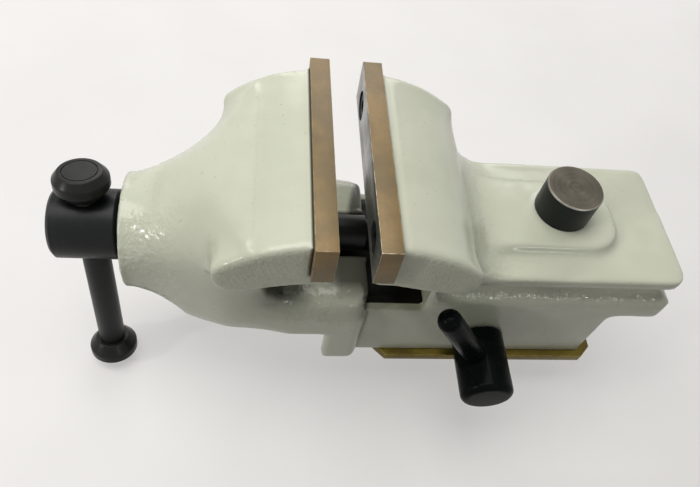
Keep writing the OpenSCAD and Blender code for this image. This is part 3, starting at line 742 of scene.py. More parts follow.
class Shop:
    """The ways of making and finishing meshes."""

    @staticmethod
    def link(name: str, mesh: Mesh) -> Object:
        """Puts a mesh into the scene under a name."""
        piece = bpy.data.objects.new(name, mesh)
        bpy.context.scene.collection.objects.link(piece)
        return piece

    @staticmethod
    def smooth(mesh: Mesh, angle: float = 32.0) -> None:
        """Shades a mesh smooth up to an angle in degrees."""
        mesh.polygons.foreach_set("use_smooth", [True] * len(mesh.polygons))
        mesh.set_sharp_from_angle(angle=math.radians(angle))

    @staticmethod
    def rows(items: object, label: str) -> np.ndarray:
        """Reads a property of three numbers from a mesh's items, as rows."""
        values = np.empty(len(items) * 3)
        items.foreach_get(label, values)
        return values.reshape(-1, 3)

    @staticmethod
    def cad_bmesh(node: str, flat: bool = True) -> BMesh:
        """Copies a CAD node's mesh, merged and with its flat faces joined.

        Args:
            node: The CAD node.
            flat: Whether coplanar triangles become one face.

        Returns:
            The merged copy.
        """
        copy = bmesh.new()
        copy.from_mesh(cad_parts[node].data)
        bmesh.ops.remove_doubles(copy, verts=copy.verts, dist=2e-6)
        if flat:
            bmesh.ops.dissolve_limit(copy, angle_limit=math.radians(0.6),
                                     verts=copy.verts, edges=copy.edges)
        return copy

    @staticmethod
    def to_mesh(name: str, shape: BMesh) -> Mesh:
        """Turns a bmesh into a plain mesh without old custom normals.

        Args:
            name: The mesh's name.
            shape: The bmesh, which is freed.

        Returns:
            The mesh.
        """
        mesh = bpy.data.meshes.new(name)
        shape.to_mesh(mesh)
        shape.free()
        stale = mesh.attributes.get("custom_normal")
        if stale:
            mesh.attributes.remove(stale)
        return mesh

    @staticmethod
    def smooth_piece(name: str, shape: BMesh) -> Object:
        """Turns a bmesh into a smooth-shaded piece."""
        mesh = Shop.to_mesh(name, shape)
        Shop.smooth(mesh)
        return Shop.link(name, mesh)

    @staticmethod
    def applied(piece: Object) -> Mesh:
        """Turns a piece's modifiers into its plain mesh.

        Args:
            piece: The piece; its modifiers are taken off.

        Returns:
            The piece's new mesh.
        """
        ready = bpy.context.evaluated_depsgraph_get()
        mesh = bpy.data.meshes.new_from_object(piece.evaluated_get(ready))
        piece.modifiers.clear()
        piece.data = mesh
        return mesh

    @staticmethod
    def grown(name: str, tree: NodeTree, start: Mesh, values: dict[str, object]) -> Object:
        """Runs a Geometry Nodes tree on a start mesh.

        Args:
            name: The piece's name.
            tree: The Geometry Nodes tree.
            start: The mesh it starts from.
            values: Input values by name.

        Returns:
            The piece with a plain mesh and no modifier.
        """
        piece = Shop.link(name, start)
        modifier = piece.modifiers.new("shape", "NODES")
        modifier.node_group = tree
        for item in tree.interface.items_tree:
            if item.in_out == "INPUT" and item.name in values:
                modifier[item.identifier] = values[item.name]
        Shop.smooth(Shop.applied(piece))
        return piece

    @staticmethod
    def mark_turned(piece: Object, axis: Point, *origins: Point) -> None:
        """Stores each point's place and direction of turning about the nearest axis.

        Args:
            piece: The turned piece.
            axis: The axes' direction.
            *origins: A point on each axis, in millimetres.
        """
        mesh = piece.data
        way = np.array(Vector(axis).normalized())
        offsets = Shop.rows(mesh.vertices, "co")[None] * PER_M - np.array(origins)[:, None]
        radii = np.linalg.norm(np.cross(way, offsets), axis=2)
        nearest = np.argmin(radii, axis=0)
        index = np.arange(len(nearest))
        offset, out = offsets[nearest, index], radii[nearest, index]
        marks = np.stack([offset @ way, out, np.zeros_like(out)], axis=1)
        spin = np.cross(way, offset) / np.maximum(out, 1e-6)[:, None]
        for label, values in (("turned", marks), ("spin", spin)):
            layer = mesh.attributes.new(label, "FLOAT_VECTOR", "POINT")
            layer.data.foreach_set("vector", values.astype(np.float32).ravel())

    @staticmethod
    def rounded(profile: Profile, radii: dict[int, float], steps: int = 4) -> Profile:
        """Rounds chosen corners of a turning profile.

        Args:
            profile: Points as (along, radius) in millimetres.
            radii: Corner radius by the corner's index.
            steps: Number of chords in each rounding.

        Returns:
            The profile with its corners rounded.
        """
        result: Profile = []
        for index, (along, out) in enumerate(profile):
            radius = radii.get(index, 0.0)
            if not radius:
                result.append((along, out))
                continue
            corner = Vector((along, out))
            before = Vector(profile[index - 1]) - corner
            after = Vector(profile[index + 1]) - corner
            half = before.angle(after) / 2.0
            reach = min(radius / math.tan(half), 0.49 * before.length, 0.49 * after.length)
            start = corner + before.normalized() * reach
            end = corner + after.normalized() * reach
            for step in range(steps + 1):
                t = step / steps
                point = start.lerp(corner, t).lerp(corner.lerp(end, t), t)
                result.append((point.x, point.y))
        return result

    @staticmethod
    def turned(name: str, profile: Profile, origin: Point, axis: Point,
               segments: int = 96) -> Object:
        """Turns a profile about an axis into a closed piece.

        Args:
            name: The piece's name.
            profile: Points as (along, radius) in millimetres, from axis to axis.
            origin: Where along is 0, in millimetres.
            axis: The axis' direction.
            segments: Number of steps round the axis.

        Returns:
            The turned piece, with its attributes turned and spin.
        """
        shape = bmesh.new()
        turn = Vector(axis).to_track_quat("Z", "Y").to_matrix().to_4x4()
        lie = Matrix.Translation(Vector(origin)) @ turn
        rings = []
        for along, out in profile:
            count = segments if out > 1e-6 else 1
            angles = [2.0 * math.pi * k / segments for k in range(count)]
            circle = [Vector((out * math.cos(a), out * math.sin(a), along)) for a in angles]
            rings.append([shape.verts.new(lie @ point * MM) for point in circle])
        for low, high in zip(rings, rings[1:]):
            for k in range(segments):
                loop = [low[k % len(low)], low[(k + 1) % len(low)],
                        high[(k + 1) % len(high)], high[k % len(high)]]
                corners = list(dict.fromkeys(loop))
                if len(corners) > 2:
                    shape.faces.new(corners)
        bmesh.ops.recalc_face_normals(shape, faces=shape.faces)
        piece = Shop.smooth_piece(name, shape)
        Shop.mark_turned(piece, axis, origin)
        return piece

    @staticmethod
    def dress(piece: Object, *finishes: Finish) -> None:
        """Gives a piece its finishes, in slot order."""
        piece.data.materials.clear()
        for finish in finishes:
            piece.data.materials.append(finish.material())

    @staticmethod
    def settle(piece: Object, body: Body, slot: Slot, *nodes: str) -> None:
        """Fixes a finished piece to its body and hides the CAD nodes it stands for.

        Args:
            piece: The finished piece.
            body: The body it rides on.
            slot: The record's slot of its finish; not used.
            *nodes: The CAD nodes that it replaces.
        """
        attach(piece, body.value)
        if nodes:
            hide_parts(*nodes)
        LOG.info("%s: %d faces on %s", piece.name, len(piece.data.polygons), body.value)


@dataclass(frozen=True)
class CadPiece:
    """A piece that keeps its CAD node's shape, with its sharp edges broken.

    The bevel is the broken edges' width in millimetres, and least the smallest angle in degrees
    that counts as an edge. Reshape changes the copy before that. A turned piece has an axis and
    a point on it for each of its bodies of rotation.
    """

    name: str
    node: str
    body: Body
    slot: Slot
    bevel: float
    finishes: tuple[Finish, ...]
    axis: Point = UP
    origins: tuple[Point, ...] = ()
    least: float = 35.0
    reshape: Reshape | None = None

    def made(self) -> Object:
        """Makes and dresses the piece.

        Returns:
            The piece, whose broken edges carry the attribute edge.
        """
        shape = Shop.cad_bmesh(self.node)
        if self.reshape:
            self.reshape(shape)
        mark = shape.faces.layers.float.new("edge")
        least = math.radians(self.least)
        sharp = [edge for edge in shape.edges
                 if len(edge.link_faces) == 2 and edge.calc_face_angle(0.0) > least]
        broken = bmesh.ops.bevel(shape, geom=sharp, offset=self.bevel * MM, segments=2,
                                 profile=0.5, affect="EDGES", clamp_overlap=True)
        for face in broken["faces"]:
            face[mark] = 1.0
        piece = Shop.smooth_piece(self.name, shape)
        if self.origins:
            Shop.mark_turned(piece, self.axis, *self.origins)
        Shop.dress(piece, *self.finishes)
        return piece

    def settle(self, piece: Object) -> None:
        """Settles the piece in place of its CAD node."""
        Shop.settle(piece, self.body, self.slot, self.node)

    def build(self) -> None:
        """Makes, dresses and settles the piece."""
        self.settle(self.made())


# ---------------------------------------------------------------- castings


class Places:
    """Points of a casting, as its soft zones see them, in millimetres."""

    def __init__(self, points: np.ndarray) -> None:
        """Keeps the points by axis, by side and by distance from the spindle's axis."""
        self.x, self.y, self.z = points.T
        self.side = np.abs(self.y)
        self.bore = np.hypot(self.y, self.z - SPINDLE_Z)


@dataclass(frozen=True)
class Zone:
    """A soft zone of a casting, in millimetres along each axis that it names.

    A span goes from 0 at its first value to 1 at its second. Two more values end it again.
    """

    weight: float = 1.0
    x: Span = ()
    y: Span = ()
    z: Span = ()
    side: Span = ()
    bore: Span = ()
    but: "Zone | None" = None

    def share(self, at: Places) -> np.ndarray:
        """Multiplies the zone's ramps, less the zone that it leaves out.

        Args:
            at: The points.

        Returns:
            The zone's share at each point, from 0 to its weight.
        """
        share = np.full(len(at.x), self.weight)
        for axis in ("x", "y", "z", "side", "bore"):
            span = getattr(self, axis)
            for low, high in zip(span[::2], span[1::2]):
                share *= ramp(getattr(at, axis), low, high)
        return share if self.but is None else share * (1.0 - self.but.share(at))


@dataclass(frozen=True)
class Block:
    """A hard-edged part of a casting, in millimetres: two ends along an axis, or an outer limit."""

    x: Size = (-math.inf, math.inf)
    z: Size = (-math.inf, math.inf)
    side: float = math.inf
    bore: float = math.inf

    def holds(self, at: Places) -> np.ndarray:
        """Tells which points lie in the block."""
        inside = (at.x > self.x[0]) & (at.x < self.x[1]) & (at.z > self.z[0]) & (at.z < self.z[1])
        return inside & (at.side < self.side) & (at.bore < self.bore)


Zones = tuple[Zone, ...]
Blocks = tuple[Block, ...]
END_FACES = Zone(side=(27.6, 28.1), z=(46.0, 49.0))


def widest(zones: Zones, at: Places) -> np.ndarray:
    """Returns the largest share of several zones at each point."""
    return np.maximum.reduce([zone.share(at) for zone in zones])


@dataclass
class Casting:
    """An enamelled casting, rounded as its pattern maker and the enamel would.

    Its zones say where hollows are filled, where the skin flows smooth, where it is sandy and
    where the enamel ran thick, and its blocks hold the dark faces: machined ways, dark and oiled,
    and faces in deep shade, where the same dark finish is painted shade. The seat of its jaw plate
    lies at x = seat, and the casting goes on from there in the direction away.
    """

    name: str
    node: str
    body: Body
    voxel: float
    seat: float
    away: float
    fillet: Zones
    flow: Zones
    sandy: Zones
    lumpy: Zones
    blocks: Blocks
    plate_z: float = 56.5
    plate_lap: Size = (0.4, 1.4)
    seat_ease: Size = (0.2, 1.1)
    seam_half: Size = (0.55, 0.35)
    seam_rise: float = 0.5
    soften: int = 14
    fill: int = 170
    polish: int = 45
    even: int = 12
    swell: float = 3.5
    shave: float = 4.2
    lump: float = 0.085
    lump_sizes: Size = (9.0, 3.6)
    # These two scale the hollow measure that paints dirt and shade into the enamel.
    soil_and_shade_swell: float = 1.4
    soil_and_shade_rub: float = 0.2
    held: float = 0.02

    def free(self, at: Places) -> np.ndarray:
        """Frees the cast faces and holds the machined ones; here only the plate's seat.

        Args:
            at: The points.

        Returns:
            How free each point is, from 0 to 1.
        """
        behind = self.away * (at.x - self.seat)
        below = self.plate_z - at.z
        free = np.where(below < self.plate_lap[0], ramp(behind, *self.seat_ease), 1.0)
        return np.where((behind < 0.0) & (below < self.plate_lap[1]), 0.0, free)

    def seam(self, at: Places) -> np.ndarray:
        """Paints shade along the line where the jaw plate is let in.

        Args:
            at: The points.

        Returns:
            How dark each point is, from 0 to 1.
        """
        line = ramp(np.abs(at.x - self.seat), *self.seam_half)
        return line * ramp(at.z, self.plate_z - self.seam_rise, self.plate_z)

    def reshape(self, points: np.ndarray) -> np.ndarray:
        """Moves the raw skin's points, in millimetres; each casting has its own."""
        raise NotImplementedError

    def ways(self, at: Places) -> np.ndarray:
        """Tells which face centres take the dark finish of the ways, on machined ways and as
        painted shade on faces in deep shade.
        """
        return np.logical_or.reduce([block.holds(at) for block in self.blocks])

    def build(self) -> None:
        """Makes the casting's visible skin, dresses it and settles it."""
        shape = Shop.cad_bmesh(self.node, flat=False)
        solid = BVHTree.FromBMesh(shape)
        piece = Shop.link(self.name, Shop.to_mesh(self.name, shape))
        modifier = piece.modifiers.new("skin", "REMESH")
        modifier.mode = "VOXEL"
        modifier.voxel_size = self.voxel * MM
        self.round_off(Shop.applied(piece), solid)
        # The second finish darkens the ways and, as painted shade, faces in deep shade.
        Shop.dress(piece, ENAMEL, WAY_AND_SHADE)
        Shop.settle(piece, self.body, Slot.ENAMEL, self.node)

    def round_off(self, mesh: Mesh, solid: BVHTree) -> None:
        """Rounds the skin and marks its hollows for dirt and painted shade, its lines and corners
        of painted shade, its rough faces and its dark way faces.

        Args:
            mesh: The casting's raw skin; it gains attributes for its hollows, its sandy faces, its
                painted shade and its flow lumps.
            solid: The CAD solid, which the held points are put back on.
        """
        start = self.reshape(Shop.rows(mesh.vertices, "co") * PER_M)
        mesh.vertices.foreach_set("co", (start * MM).ravel())
        mesh.update()
        pairs = np.empty(len(mesh.edges) * 2, np.int64)
        mesh.edges.foreach_get("vertices", pairs)
        pairs = pairs.reshape(-1, 2)
        at = Places(start)
        loose, filled, flow = self.free(at), widest(self.fillet, at), widest(self.flow, at)
        soft = self.relax(start, pairs, self.soften)
        wide = self.relax(soft, pairs, self.fill)
        outward = Shop.rows(mesh.vertex_normals, "vector")
        shift = np.einsum("ij,ij->i", wide - soft, outward)
        rub = np.einsum("ij,ij->i", soft - start, outward)
        swell = self.relax(np.clip(shift, 0.0, self.swell) * filled, pairs, self.even)
        shave = self.relax(np.clip(shift, -self.shave, 0.0) * flow, pairs, self.even)
        rise = swell * np.minimum(loose, filled) + shave * loose
        points = start + (soft - start) * loose[:, None] + outward * rise[:, None]
        smooth = self.relax(points, pairs, self.polish)
        points += (smooth - points) * (flow * loose)[:, None]
        points += outward * (self.lumps(start) * loose)[:, None]
        for index in np.flatnonzero(loose < self.held):
            near = solid.find_nearest(Vector(points[index]) * MM)[0]
            points[index] = np.array(near) * PER_M
        low, high = (np.array(corner) * PER_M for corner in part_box(self.node))
        points = np.clip(points, low, high)
        mesh.vertices.foreach_set("co", (points * MM).ravel())
        # The hollow measure darkens the enamel as dirt and as painted shade.
        hollow = swell / self.soil_and_shade_swell + np.clip(rub - self.soil_and_shade_rub, 0.0, 1.0) * 2.0
        marks = {"cavity": np.clip(hollow, 0.0, 1.0), "sandy": widest(self.sandy, Places(points)),
                 "seam": self.seam(at), "lumpy": widest(self.lumpy, at)}
        for label, values in marks.items():
            layer = mesh.attributes.new(label, "FLOAT", "POINT")
            layer.data.foreach_set("value", values.astype(np.float32))
        mesh.update()
        mesh.polygons.foreach_set("use_smooth", [True] * len(mesh.polygons))
        # Faces of the ways, and faces in deep shade painted dark, take the second finish.
        ways = self.ways(Places(Shop.rows(mesh.polygons, "center") * PER_M))
        mesh.polygons.foreach_set("material_index", ways.astype(np.int32))

    @staticmethod
    def relax(values: np.ndarray, pairs: np.ndarray, rounds: int) -> np.ndarray:
        """Averages each point with its neighbours.

        Args:
            values: One value or row for each point.
            pairs: The mesh's edges.
            rounds: How often to average.

        Returns:
            The averaged values.
        """
        ends = np.concatenate([pairs[:, 0], pairs[:, 1]])
        others = np.concatenate([pairs[:, 1], pairs[:, 0]])
        count = len(values)
        degree = np.maximum(np.bincount(ends, minlength=count), 1)
        rows = values.reshape(count, -1).T
        for _ in range(rounds):
            mean = np.stack([np.bincount(ends, weights=row[others], minlength=count)
                             for row in rows])
            rows = rows + 0.7 * (mean / degree - rows)
        return rows.T.reshape(values.shape)

    def lumps(self, points: np.ndarray) -> np.ndarray:
        """Returns the uneven height of the cast skin at each point, in millimetres."""
        slow, fast = self.lump_sizes
        places = [Vector(point) for point in points]
        return self.lump * np.array([noise.noise(place / slow) + 0.5 * noise.noise(place / fast)
                                     for place in places])


@dataclass
class FrontCasting(Casting):
    """The moving jaw: its head, its nose, and the saddle with two legs."""

    name: str = "front_casting"
    node: str = "front_jaw_body"
    body: Body = Body.FRONT
    voxel: float = 0.56
    seat: float = -53.2
    away: float = -1.0
    fillet: Zones = (Zone(x=(-51.0, -54.0), but=Zone(0.55, side=(15.0, 18.0), x=(-76.0, -70.0))),)
    flow: Zones = (Zone(x=(-56.0, -65.0, -98.5, -94.0),
                        but=Zone(side=(21.0, 26.0), z=(40.0, 45.0))),
                   Zone(side=(18.5, 21.0), z=(26.5, 29.0, 38.0, 36.0), x=(-74.0, -68.0)))
    sandy: Zones = (END_FACES,)
    lumpy: Zones = (Zone(x=(-80.0, -89.0), side=(3.0, 9.0)),
                    Zone(side=(15.0, 20.0), z=(22.0, 27.0, 38.0, 36.0), x=(-66.0, -60.0)),
                    Zone(0.35, side=(24.5, 26.5), z=(55.0, 58.0)))
    blocks: Blocks = (Block(x=(-58.0, math.inf), z=(-math.inf, 27.3), side=21.0),
                      Block(x=(-90.0, math.inf), bore=8.1))
    cast_faces: Zone = Zone(x=(-98.6, -97.4), bore=(8.0, 9.2))
    past_slot: Zones = (Zone(z=(27.1, 28.2)), Zone(x=(-82.1, -90.5)))
    leg_sides: Zone = Zone(side=(20.9, 22.0))
    slot_sides: Zone = Zone(side=(17.8, 22.3))
    legs_front: float = -47.7
    # The hollow corners under the wings, where painted shade is laid.
    hollow: Size = (-61.0, 35.6)
    hollow_depth: Size = (6.0, 1.8)
    hollow_sides: Zone = Zone(side=(24.5, 21.5))
    lip: Point = (-36.3, 3.8, 20.5)
    lip_ease: Size = (-1.0, 0.4)
    lip_sides: Zone = Zone(z=(25.0, 27.5, 44.0, 42.0), side=(21.1, 20.1))
    # Painted shade on the near saddle between the plates; the value after it sets how dark all
    # these marks get.
    under_plate_shade: Zone = Zone(z=(25.0, 27.5, 44.0, 42.0), x=(-51.0, -43.0), y=(0.0, -5.0, -21.5, -15.5))
    darkness: float = 0.92
    saddle_top: float = 33.5
    saddle_half: float = 24.0
    saddle_front: Size = (-68.0, -60.0)
    saddle_lap: float = 0.4
    near_round: float = 2.2
    far_round: float = 5.0
    cut: Point = (-35.3, 2.6, 18.0)
    cut_block: Block = Block(z=(27.0, 36.0), side=18.0)

    @staticmethod
    def past(bow: Point, at: Places) -> np.ndarray:
        """Returns how far points lie behind a line of a rear end, a bow and a half width."""
        return at.x - bow[0] + bow[1] * (1.0 - (at.y / bow[2]) ** 2)

    def free(self, at: Places) -> np.ndarray:
        """Frees the cast faces and holds the seat, the nose's face, the bores and the slot.

        Args:
            at: The points.

        Returns:
            How free each point is, from 0 to 1.
        """
        sides = np.where(at.x > self.legs_front, self.leg_sides.share(at),
                         self.slot_sides.share(at))
        slot = np.maximum(sides, widest(self.past_slot, at))
        return super().free(at) * self.cast_faces.share(at) * slot

    def seam(self, at: Places) -> np.ndarray:
        """Paints shade along the plate's line, in the corners under the wings and on the near
        saddle between the plates, and darkens a band along the saddle's back edge.

        Args:
            at: The points.

        Returns:
            How dark each point is, from 0 to 1.
        """
        # Painted shade fills the hollow corners under the wings.
        along = at.x - self.hollow[0]
        depth = np.hypot(np.where(along > 0.0, 0.5 * along, along), at.z - self.hollow[1])
        corner = ramp(depth, *self.hollow_depth) * self.hollow_sides.share(at)
        # A darkened band follows the bow of the saddle's back edge.
        lip = ramp(self.past(self.lip, at), *self.lip_ease) * self.lip_sides.share(at)
        # Painted shade also darkens the near side of the saddle between the plates.
        darkness = np.maximum.reduce([corner, lip, self.under_plate_shade.share(at)])
        return np.maximum(super().seam(at), self.darkness * darkness)

    def reshape(self, points: np.ndarray) -> np.ndarray:
        """Turns the saddle's outer top edges over, further on the far side.

        Args:
            points: The points in millimetres.

        Returns:
            The moved points.
        """
        x, y, z = points.T
        radius = np.where(y < 0.0, self.near_round, self.far_round)
        centre_y, centre_z = self.saddle_half - radius, self.saddle_top - radius
        across, rise = np.abs(y) - centre_y, z - centre_z
        reach = np.hypot(across, rise)
        outside = (across > 0.0) & (rise > 0.0) & (reach > radius)
        outside &= z < self.saddle_top + self.saddle_lap
        share = np.where(outside, ramp(x, *self.saddle_front), 0.0)
        pull = 1.0 - share * (1.0 - radius / np.maximum(reach, radius))
        moved = points.copy()
        moved[:, 1] = np.where(outside, np.sign(y) * (centre_y + across * pull), y)
        moved[:, 2] = np.where(outside, centre_z + rise * pull, z)
        return moved

    def ways(self, at: Places) -> np.ndarray:
        """Tells which face centres lie in the pocket, in the trough or on the cut at the back."""
        cut = (self.past(self.cut, at) > 0.0) & self.cut_block.holds(at)
        return super().ways(at) | cut


@dataclass
class RearCasting(Casting):
    """The fixed jaw: its head, its column, the deck and the block with the channel."""

    name: str = "rear_casting"
    node: str = "rear_jaw_body"
    body: Body = Body.REAR
    voxel: float = 0.62
    seat: float = -34.5
    away: float = 1.0
    fillet: Zones = (Zone(z=(41.5, 44.0), x=(-19.0, -13.0, 6.0, -3.0)),
                     Zone(0.22, z=(42.5, 44.0)), Zone(z=(42.5, 44.0), y=(2.0, 7.0)))
    flow: Zones = (Zone(z=(43.0, 45.0), x=(-32.0, -25.0, 3.0, -5.0), side=(26.0, 21.0)),
                   Zone(z=(43.5, 45.0, 50.0, 48.0), y=(2.0, 7.0), side=(18.5, 16.5),
                        x=(-14.0, -10.0)))
    sandy: Zones = (END_FACES, Zone(0.35, z=(32.0, 30.0)))
    lumpy: Zones = (Zone(z=(31.0, 32.5, 40.0, 38.0), side=(15.0, 17.0)),
                    Zone(0.4, z=(43.0, 43.8, 46.0, 45.4), y=(-11.0, -14.0), x=(30.0, 18.0)),
                    Zone(0.25, z=(44.0, 46.0, 58.0, 52.0), x=(-16.0, -12.0, -2.0, -6.0)))
    # The channel, the wall tops, the column's front and the nut's bore take the dark finish; on the
    # wall tops and the column's front it is partly painted shade.
    blocks: Blocks = (Block(x=(-math.inf, 36.3), z=(16.0, 27.0), side=18.6),
                      Block(x=(-math.inf, -18.9), z=(25.2, 28.3)),
                      Block(x=(-20.4, -18.6), z=(26.7, 47.0)),
                      Block(x=(-19.7, math.inf), bore=7.6))
    past_channel: Zones = (Zone(side=(18.2, 19.2)), Zone(z=(27.2, 28.2)), Zone(z=(16.6, 15.6)),
                           Zone(x=(41.0, 43.0)))
    underside: Zone = Zone(z=(3.2, 4.2))
    stiff_walls: Zone = Zone(0.7, side=(20.2, 19.0))
    shelf_z: float = 33.0
    stiff_rim: float = 0.6
    rim_z: Size = (40.0, 45.5)
    rim_past: Size = (45.0, 18.0)
    column_x: float = -19.5
    column_block: Block = Block(z=(-math.inf, 46.5), side=20.0)
    wall_top: float = 26.7
    post_top: float = 17.5
    deck_z: float = 41.0
    flare: Zone = Zone(4.0, x=(-19.0, -14.0, 0.0, -12.5), y=(9.0, 20.4, 28.4, 20.4),
                       z=(42.5, 46.0))

    def free(self, at: Places) -> np.ndarray:
        """Frees the cast faces and holds the seat, the ways, the bores and the anvil's foot.

        Args:
            at: The points.

        Returns:
            How free each point is, from 0 to 1.
        """
        free = super().free(at) * self.underside.share(at) * widest(self.past_channel, at)
        free *= np.where(at.z < self.shelf_z, 1.0 - self.stiff_walls.share(at), 1.0)
        rim = (at.x > self.rim_past[0]) | (at.side > self.rim_past[1])
        free *= np.where(rim & Block(z=self.rim_z).holds(at), self.stiff_rim, 1.0)
        anvil = np.hypot(at.x - ANVIL_PLACE[0], at.y - ANVIL_PLACE[1])
        column = np.abs(at.x - self.column_x)
        for where, values, low, high in (
                (at.x > self.column_x - 1.0, at.bore, 7.8, 9.0),
                (True, np.hypot(at.x, at.z - CLAMP_Z), 5.6, 6.6),
                (at.z < self.post_top, np.hypot(at.x, at.y), 11.6, 12.6),
                (at.z > self.deck_z, anvil, 7.4, 9.0),
                (at.x < self.column_x, np.abs(at.z - self.wall_top), 0.2, 1.0),
                (self.column_block.holds(at), column, 0.1, 0.9)):
            free *= np.where(where, ramp(values, low, high), 1.0)
        return free

    def reshape(self, points: np.ndarray) -> np.ndarray:
        """Lets the column's far side run out under the head's wing.

        Args:
            points: The points in millimetres.

        Returns:
            The moved points.
        """
        moved = points.copy()
        moved[:, 1] += self.flare.share(Places(points))
        return moved


# ---------------------------------------------------------------- plates and screws


@dataclass
class JawPlates:
    """The two hardened plates with ground grip faces."""

    edge: float = 0.16
    bore: float = 3.85
    grip_front: float = -48.2
    grip_rear: float = -39.5
    grip_depth: float = 0.05

    def build(self) -> None:
        """Makes both plates, grinds their grip faces and blackens their bores."""
        finishes = (PLATE, GRIP, BLACK_BOLT)
        for name, node, body, grip in (
                ("front_plate", "front_jaw_plate", Body.FRONT, self.grip_front),
                ("rear_plate", "rear_jaw_plate", Body.REAR, self.grip_rear)):
            plate = CadPiece(name, node, body, Slot.PLATE, self.edge, finishes)
            piece = plate.made()
            for face in piece.data.polygons:
                x, y, z = face.center * PER_M
                bore = math.hypot(abs(y) - PLATE_HOLE[0], z - PLATE_HOLE[1])
                ground = abs(face.normal.x) > 0.9 and abs(x - grip) < self.grip_depth
                face.material_index = 2 if bore < self.bore else int(ground)
            plate.settle(piece)


@dataclass(frozen=True)
class CapScrews:
    """A set of socket-head cap screws, set out by a tree on the undersides of their heads.

    Head, shank and key are each a width and a length in millimetres.
    """

    name: str
    node: str
    body: Body
    slot: Slot
    finish: Finish
    way: Point
    seats: tuple[Point, ...]
    head: Size = (7.0, 2.8)
    shank: Size = (4.0, 8.0)
    key: Size = (3.0, 1.7)

    @staticmethod
    @cache
    def tree() -> NodeTree:
        """Builds the screw tree: one cap screw, set on each point of the start mesh.

        Returns:
            The tree; a screw's head rises along -Z from its seat, its shank along +Z.
        """
        sizes = ("Head Width", "Head Length", "Shank Width", "Shank Length", "Key Width",
                 "Key Length")
        kinds = {"Seats": GEOMETRY, **{size: FLOAT for size in sizes}, "Turn": VECTOR,
                 "Finish": FINISH}
        graph, entry, leave = new_group("cap_screws", kinds, {"Screws": GEOMETRY},
                                        "GeometryNodeTree")
        get = entry.outputs

        def rod(width: NodeSocket, length: NodeSocket, centre: NodeSocket,
                sides: int) -> NodeSocket:
            """Makes an upright rod.

            Args:
                width: Its diameter.
                length: Its length.
                centre: The height of its middle.
                sides: Number of its sides.

            Returns:
                The rod's geometry.
            """
            stock = {"Vertices": sides, "Radius": graph.times(width, 0.5), "Depth": length}
            body = graph.add("GeometryNodeMeshCylinder", stock).outputs[0]
            lift = graph.add("ShaderNodeCombineXYZ", {2: centre}).outputs[0]
            moved = {"Geometry": body, "Translation": lift}
            return graph.add("GeometryNodeTransform", moved).outputs[0]

        tall, long = get["Head Length"], get["Shank Length"]
        head = rod(get["Head Width"], tall, graph.times(tall, -0.5), 48)
        corner = graph.times(get["Key Width"], 2.0 / math.sqrt(3.0))
        key = rod(corner, graph.times(get["Key Length"], 2.0), graph.times(tall, -1.0), 6)
        bored = graph.add("GeometryNodeMeshBoolean", {0: head, 1: key}, operation="DIFFERENCE")
        shank = rod(get["Shank Width"], long, graph.times(long, 0.5), 24)
        screw = graph.add("GeometryNodeJoinGeometry")
        for part in (bored.outputs[0], shank):
            graph.tree.links.new(part, screw.inputs[0])
        turn = graph.add("FunctionNodeEulerToRotation", {0: get["Turn"]}).outputs[0]
        row = {"Points": get["Seats"], "Instance": screw.outputs[0], "Rotation": turn}
        spread = graph.add("GeometryNodeInstanceOnPoints", row)
        real = graph.add("GeometryNodeRealizeInstances", {0: spread.outputs[0]}).outputs[0]
        done = graph.add("GeometryNodeSetMaterial", {"Geometry": real, "Material": get["Finish"]})
        graph.feed(leave, {0: done.outputs[0]})
        return graph.tree

    def build(self) -> None:
        """Sets the screws into their seats."""
        start = bpy.data.meshes.new(self.name)
        start.from_pydata([Vector(seat) * MM for seat in self.seats], [], [])
        turn = Vector(self.way).to_track_quat("Z", "Y").to_euler()
        values = {"Turn": tuple(turn), "Finish": self.finish.material()}
        for label, (width, length) in (("Head", self.head), ("Shank", self.shank),
                                       ("Key", self.key)):
            values[f"{label} Width"], values[f"{label} Length"] = width * MM, length * MM
        piece = Shop.grown(self.name, self.tree(), start, values)
        Shop.mark_turned(piece, self.way, *self.seats)
        Shop.settle(piece, self.body, self.slot, self.node)


def pair(x: float, out: float, z: float) -> tuple[Point, Point]:
    """Returns two places in millimetres, one on each side of the middle."""
    return (x, -out, z), (x, out, z)


SCREWS = (
    CapScrews("rear_plate_caps", "rear_plate_screws", Body.REAR, Slot.BLACK, BLACK_BOLT, AFT,
              pair(-36.3, *PLATE_HOLE)),
    CapScrews("front_plate_caps", "front_plate_screws", Body.FRONT, Slot.BLACK, BLACK_BOLT, FORE,
              pair(-51.4, *PLATE_HOLE)),
    CapScrews("slide_caps", "slide_bar_screws", Body.FRONT, Slot.BRIGHT, BRIGHT, UP,
              pair(-72.0, 12.0, 22.4) + pair(-54.0, 12.0, 22.4),
              head=(7.0, 4.0), shank=(4.0, 9.1), key=(3.0, 2.4)),
    CapScrews("nut_caps", "nut_screws", Body.REAR, Slot.BRIGHT, BRIGHT, AFT,
              pair(-21.0, 11.3, SPINDLE_Z), head=(4.2, 1.5), shank=(3.0, 8.0), key=(2.0, 0.8)),
)


# ---------------------------------------------------------------- spindle and bar


